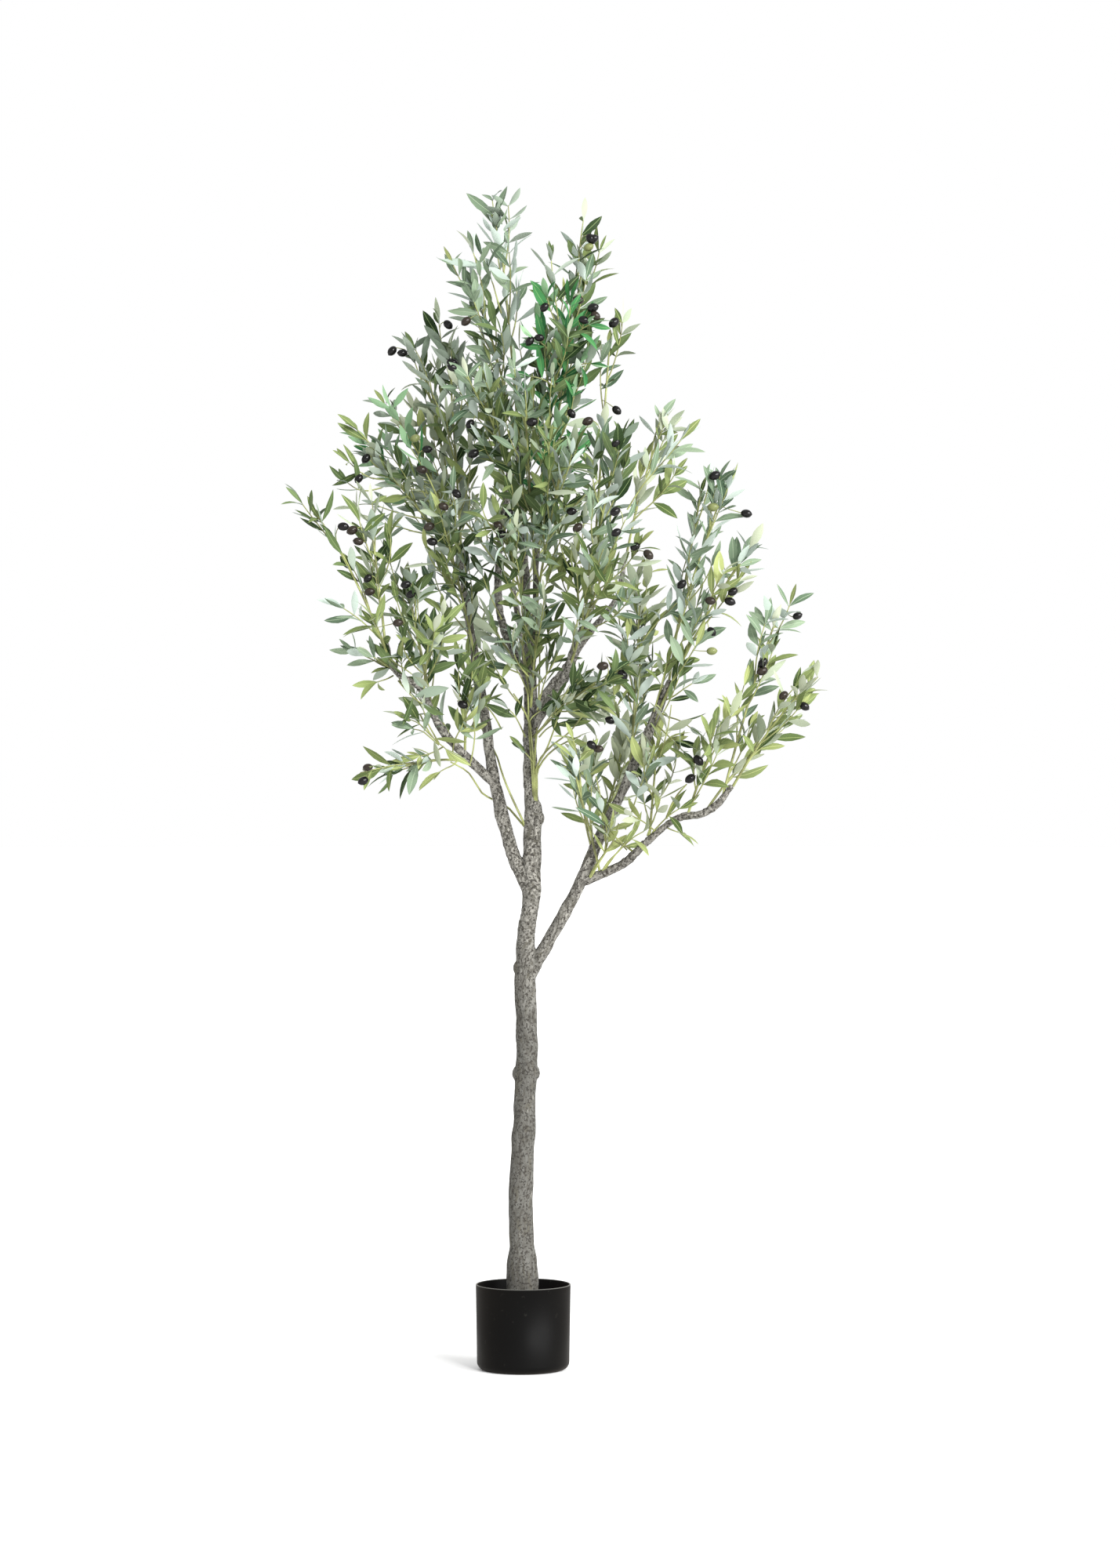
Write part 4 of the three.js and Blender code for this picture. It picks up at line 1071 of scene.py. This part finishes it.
# Loose twigs: single leafy shoots on the trunk, its leader and the forks, below and between the sprays.
# Rows: the dye of the leaves and the places that the twig passes, read in the same way as the wires'.
LOOSE_PAIRS_FROM = 0.35
LOOSE_PAIR_SPACING = 0.021
LOOSE_TWIGS = [
    ("olive", (672, 912, -14), (664, 900, -24), (656, 890, -30), (648, 879, -34), (640, 865, -38),
     (631, 850, -40)),
    ("deep", (670, 940, -14), (664, 926, -22), (656, 912, -30), (648, 904, -36)),
    ("deep", (678, 930, -16), (676, 920, -22), (682, 912, -30), (690, 906, -36)),
    ("olive", (686, 906, -16), (689, 890, -22), (693, 876, -26), (697, 861, -30), (700, 846, -34)),
    ("sage", (673, 884, -14), (668, 870, -22), (662, 858, -28), (654, 847, -32), (645, 836, -36)),
    ("deep", (680, 972, -18), (675, 966, -24), (670, 960, -27)),
    ("deep", (688, 940, -18), (697, 930, -28), (708, 924, -36), (720, 922, -44)),
    ("olive", (640, 930, 30), (632, 915, 20), (622, 902, 10), (612, 890, 0)),
    ("sage", (679, 850, -14), (677, 836, -24), (673, 822, -30), (668, 806, -34)),
    ("deep", (686, 836, -16), (692, 822, -26), (699, 808, -32), (706, 795, -36)),
    ("lime", (752, 1118, -40), (764, 1100, -54), (772, 1086, -66), (776, 1072, -74), (779, 1058, -80)),
    ("sage", (771, 1088, -66), (774, 1070, -76), (773, 1052, -84), (768, 1036, -90)),
    ("olive", (800, 1084, -66), (793, 1078, -76), (784, 1072, -84), (776, 1066, -90)),
    ("lime", (770, 1112, -46), (782, 1094, -62), (795, 1080, -76), (808, 1068, -88), (822, 1060, -96)),
    ("lime", (826, 1066, -78), (832, 1050, -92), (838, 1034, -102), (843, 1018, -110)),
    ("olive", (832, 1062, -82), (845, 1048, -94), (856, 1038, -104), (866, 1032, -112)),
    ("lime", (836, 1060, -84), (826, 1052, -96), (816, 1045, -106), (806, 1040, -114)),
    ("sage", (798, 1058, -60), (806, 1036, -76), (814, 1012, -90), (822, 992, -100), (828, 975, -106)),
    ("olive", (845, 1052, -88), (856, 1058, -98), (866, 1062, -106)),
    ("lime", (536, 912, -40), (545, 930, -50), (556, 944, -58), (568, 955, -64)),
    ("olive", (560, 948, -18), (552, 934, -34), (545, 920, -44), (540, 905, -52)),
    ("lime", (577, 965, -10), (580, 945, -30), (590, 925, -44), (596, 905, -52)),
    ("sage", (600, 975, -4), (604, 955, -20), (606, 935, -34), (604, 915, -44)),
    ("olive", (552, 940, -24), (542, 930, -38), (534, 922, -48), (524, 918, -56)),
    ("deep", (508, 868, -56), (520, 882, -70), (530, 892, -80), (540, 898, -88)),
    ("olive", (502, 862, -60), (494, 866, -74), (488, 868, -84), (482, 870, -92)),
    ("deep", (512, 872, -54), (508, 860, -70), (504, 848, -82), (498, 838, -92)),
    ("olive", (524, 884, -50), (518, 872, -66), (514, 858, -78), (512, 846, -88)),
    ("lime", (566, 952, -14), (556, 958, -30), (546, 962, -42), (536, 964, -50)),
    ("sage", (500, 852, -66), (492, 848, -80), (484, 842, -90), (476, 838, -96)),
    ("deep", (496, 838, -92), (505, 846, -100), (515, 852, -106), (526, 860, -110)),
    ("sage", (490, 820, -94), (474, 804, -100), (456, 788, -104), (438, 776, -106)),
    ("sage", (850, 893, -76), (860, 888, -84), (871, 880, -92), (883, 872, -98)),
    ("deep", (844, 910, -74), (854, 915, -82), (867, 919, -90), (881, 928, -96)),
    ("deep", (838, 924, -72), (848, 934, -80), (859, 945, -88), (872, 958, -94)),
    ("olive", (852, 888, -76), (858, 874, -84), (862, 860, -90), (869, 846, -94)),
    ("deep", (836, 930, -76), (844, 914, -84), (853, 896, -92), (860, 880, -98), (866, 864, -102)),
    ("olive", (834, 908, -78), (840, 886, -86), (846, 866, -92), (850, 846, -96)),
    ("sage", (800, 650, -150), (818, 622, -160), (838, 598, -166), (856, 578, -170), (868, 562, -172)),
    ("olive", (800, 672, -140), (818, 654, -150), (836, 638, -158), (850, 622, -164), (860, 606, -168)),
    ("deep", (560, 668, 60), (540, 662, 50), (520, 658, 40), (500, 652, 32), (484, 646, 26)),
    ("sage", (548, 682, 60), (528, 678, 50), (508, 672, 40), (490, 668, 30)),
    ("olive", (490, 612, 16), (474, 610, 6), (460, 602, -2), (446, 590, -8)),
    ("deep", (486, 622, 16), (470, 626, 8), (456, 624, 0), (444, 616, -6)),
    ("deep", (716, 540, -90), (728, 516, -100), (738, 492, -106), (746, 468, -110), (750, 446, -112)),
    ("deep", (718, 440, -100), (712, 404, -104), (706, 364, -108), (703, 332, -110)),
    ("deep", (556, 520, 80), (550, 500, 84), (544, 480, 88), (538, 462, 90), (530, 446, 92)),
    ("sage", (640, 400, -40), (634, 380, -44), (628, 360, -48), (622, 344, -50), (616, 328, -52)),
    ("bright", (716, 470, -90), (704, 452, -110), (692, 438, -122), (680, 430, -130)),
    ("bright", (718, 450, -94), (730, 432, -114), (742, 420, -126), (752, 414, -134)),
    ("bright", (714, 500, -84), (700, 488, -104), (688, 482, -116), (676, 480, -124)),
    ("bright", (718, 480, -88), (732, 470, -108), (744, 464, -120), (754, 464, -128)),
    ("bright", (716, 430, -98), (708, 410, -114), (702, 394, -124), (698, 380, -130)),
    ("bright", (560, 640, -10), (548, 612, -24), (536, 590, -34), (524, 572, -40)),
    ("deep", (640, 790, -60), (630, 770, -66), (622, 752, -70), (616, 734, -74)),
    ("olive", (672, 800, -60), (680, 780, -66), (690, 760, -72), (698, 742, -76), (704, 726, -80)),
    ("sage", (560, 950, -30), (548, 940, -40), (538, 932, -48), (528, 930, -54)),
    ("lime", (584, 970, -16), (578, 976, -22), (570, 980, -28), (562, 984, -32)),
    ("sage", (818, 820, -50), (830, 804, -60), (842, 790, -68), (854, 778, -74), (864, 768, -78)),
]

# Where along a shoot or a loose twig an olive can hang.
SHOOT_PLACES = (0.3, 0.5, 0.7, 0.9)
LOOSE_PLACES = (0.4, 0.6, 0.8)


class LooseTwig:
    """Stands in for a spray where leaves grow on a twig that has no space of its own."""

    def __init__(self, number):
        self.name, self.index, self.draw = "centre_low", None, seeded(FIRST_SEED - 1 - number)


# Growing: a spray's stem, the pairs on it, and its shoots with their pairs and end leaves.
stems = Bundle()
twig_places = []
stem_nodes = ["foliage_" + spray.name for spray in sprays]
for spray in sprays:
    stem, draw = spray.stem, spray.draw
    grow_twig(stems, stem, STEM_RADII, max(6, round(stem.length / STEM_STEP)), STEM_SIDES)
    turn = draw() * math.pi
    grow_end(spray, stem, turn, spray.dyes[-1])
    count = max(2, round(stem.length * (LAST_PAIR - spray.bare) / STEM_PAIR_SPACING * spray.fullness))
    for i in range(count):
        at = mix(LAST_PAIR, spray.bare, i / count)
        grow_pair(spray, stem.at(at), stem.heading(at), turn + (i + 1) * math.pi / 2, spray.dyes[0])
    count = max(2, round(stem.length * (LAST_SHOOT - spray.bare) / SHOOT_SPACING * spray.fullness))
    first_angle = draw() * 2 * math.pi
    for i in range(count):
        start = mix(spray.bare, LAST_SHOOT, (i + SHOOT_JITTER * draw()) / count)
        angle = first_angle + i * GOLDEN_ANGLE
        length = mix(*SHOOT_LENGTHS, draw())
        offset = spray.reach * mix(*SHOOT_OFFSETS, draw()) * plume(start + length / stem.length)
        shoot = shoot_of(spray, start, angle, offset, length)
        turn = draw() * math.pi
        dye = spray.dyes[int(draw() * len(spray.dyes))]
        if not fits(spray, shoot.at(1), 1.1):
            continue
        grow_twig(stems, shoot, SHOOT_RADII, SHOOT_STEPS)
        twig_places += [shoot.at(t) for t in SHOOT_PLACES]
        grow_end(spray, shoot, turn, dye)
        grow_pairs(spray, shoot, FIRST_PAIR, PAIR_SPACING, turn, dye)
for wire in WIRES:
    route = smooth_route([read_place(*place) for place in wire])
    grow_twig(stems, route, WIRE_RADII, round(route.length / WIRE_STEP) + 2, STEM_SIDES)
for number, (dye, *places) in enumerate(LOOSE_TWIGS):
    twig, route = LooseTwig(number), smooth_route([read_place(*place) for place in places])
    grow_twig(stems, route, SHOOT_RADII, SHOOT_STEPS)
    turn = twig.draw() * math.pi
    grow_end(twig, route, turn, dye)
    grow_pairs(twig, route, LOOSE_PAIRS_FROM, LOOSE_PAIR_SPACING, turn, dye)
    twig_places += [route.at(t) for t in LOOSE_PLACES]
twig_places = np.array(twig_places)
draw = seeded(FIRST_SEED)
for ripeness, places in OLIVES.items():
    for place in places:
        across, _, height = read_place(*place, OLIVE_DEPTH)
        grow_olive(across, height, ripeness, draw)

VEIN_COUNT = 11
VEIN_SLANT = 0.12

# Leaf print is shared by the leaves' faces above, below and at the rib: a tone of each leaf's own between a
# dark and a light one, with fine pale veins that slant away from the rib.
LEAF_PRINT, print_in, print_out = effect(
    "leaf_print",
    {"Mark": ("Vector", None), "Light": ("Color", (0.2, 0.3, 0.2, 1)), "Dark": ("Color", (0.1, 0.2, 0.1, 1))},
    {"Colour": "Color", "Height": "Float"},
)
across, along, toned = (axis_of(LEAF_PRINT, print_in.outputs["Mark"], axis) for axis in "XYZ")
out = worked_out(LEAF_PRINT, "ABSOLUTE", across)
slanted = worked_out(LEAF_PRINT, "MULTIPLY_ADD", out, -VEIN_SLANT, along)
turns = worked_out(LEAF_PRINT, "MULTIPLY", slanted, 2 * math.pi * VEIN_COUNT)
veins = ranged(LEAF_PRINT, worked_out(LEAF_PRINT, "SINE", turns), before=(0.75, 1), after=(0, 0.1))
toned = mixed(LEAF_PRINT, toned, print_in.outputs["Dark"], print_in.outputs["Light"])
veined = mixed(LEAF_PRINT, veins, toned, print_in.outputs["Light"])
set_input(LEAF_PRINT, print_out, "Height", veins)
set_input(LEAF_PRINT, print_out, "Colour", veined)


def leaf_material(name, light, dark, roughness):
    material, tree = new_material(name, {"Roughness": roughness, "Specular IOR Level": 0.05})
    mark = add_node(tree, "Attribute", "Vector", {}, attribute_name="mark")
    cloth = add_node(tree, LEAF_PRINT, "Colour", {"Mark": mark, "Light": light, "Dark": dark}).node
    raised = bump_of(tree, cloth.outputs["Height"], 0.0003, Strength=0.4)
    set_shader(tree, {"Base Color": cloth.outputs["Colour"], "Normal": raised})
    return material


# Dyes: the light and dark tone above, the light and dark tone below, and the rib.
DYES = {
    "deep": ((0.112, 0.16, 0.064), (0.015, 0.031, 0.011), (0.336, 0.39, 0.325), (0.154, 0.2, 0.145),
             (0.135, 0.185, 0.077)),
    "olive": ((0.205, 0.253, 0.095), (0.056, 0.089, 0.03), (0.405, 0.455, 0.335), (0.198, 0.24, 0.16),
              (0.24, 0.285, 0.11)),
    "sage": ((0.227, 0.296, 0.198), (0.062, 0.105, 0.062), (0.467, 0.536, 0.485), (0.298, 0.36, 0.311),
             (0.27, 0.335, 0.23)),
    "bright": ((0.06, 0.21, 0.07), (0.018, 0.085, 0.03), (0.25, 0.38, 0.23), (0.13, 0.23, 0.12),
               (0.12, 0.25, 0.09)),
    "lime": ((0.32, 0.36, 0.14), (0.15, 0.19, 0.073), (0.45, 0.485, 0.37), (0.285, 0.32, 0.21),
             (0.36, 0.4, 0.17)),
}
for dye, bundle in sorted(leaves.items()):
    above_light, above_dark, below_light, below_dark, rib = [(*tone, 1) for tone in DYES[dye]]
    finishes = [
        leaf_material(f"{dye}_leaf_above", above_light, above_dark, 0.45),
        leaf_material(f"{dye}_leaf_rib", rib, rib, 0.5),
        leaf_material(f"{dye}_leaf_below", below_light, below_dark, 0.6),
    ]
    bundle.piece(f"leaves_{dye}", finishes, "leaf", sorted(leaf_nodes[dye]))

material, tree = new_material("green_stem_plastic", {"Roughness": 0.5})
aged = ranged(tree, noise_at(tree, own_place(tree), 30, detail=3), before=(0.35, 0.65))
tone = mixed(tree, aged, (0.12, 0.125, 0.042, 1), (0.31, 0.34, 0.115, 1))
set_shader(tree, {"Base Color": tone})
stems.piece("stems", [material], "stem", stem_nodes)


def olive_material(name, skin, bloom, roughness):
    values = {"Roughness": roughness, "Specular IOR Level": 0.08, "Coat Weight": 0.3, "Coat Roughness": 0.1}
    material, tree = new_material(name, values)
    clouds = noise_at(tree, own_place(tree), 130, detail=3)
    set_shader(tree, {"Base Color": mixed(tree, clouds, skin, bloom)})
    return material


finishes = [
    olive_material("ripe_black_olive", (0.003, 0.003, 0.003, 1), (0.007, 0.006, 0.006, 1), 0.2),
    olive_material("ripening_brown_olive", (0.011, 0.008, 0.006, 1), (0.032, 0.024, 0.017, 1), 0.28),
    olive_material("green_olive", (0.1, 0.12, 0.04, 1), (0.2, 0.22, 0.09, 1), 0.3),
]
olives.piece("olives", finishes, "olive", stem_nodes)


# The boxes of the frame and of the dressed tree, for comparison.
boxes = {"cad": cad_box, "visual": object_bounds()}
{name: [list(corner) for corner in box] for name, box in boxes.items()}
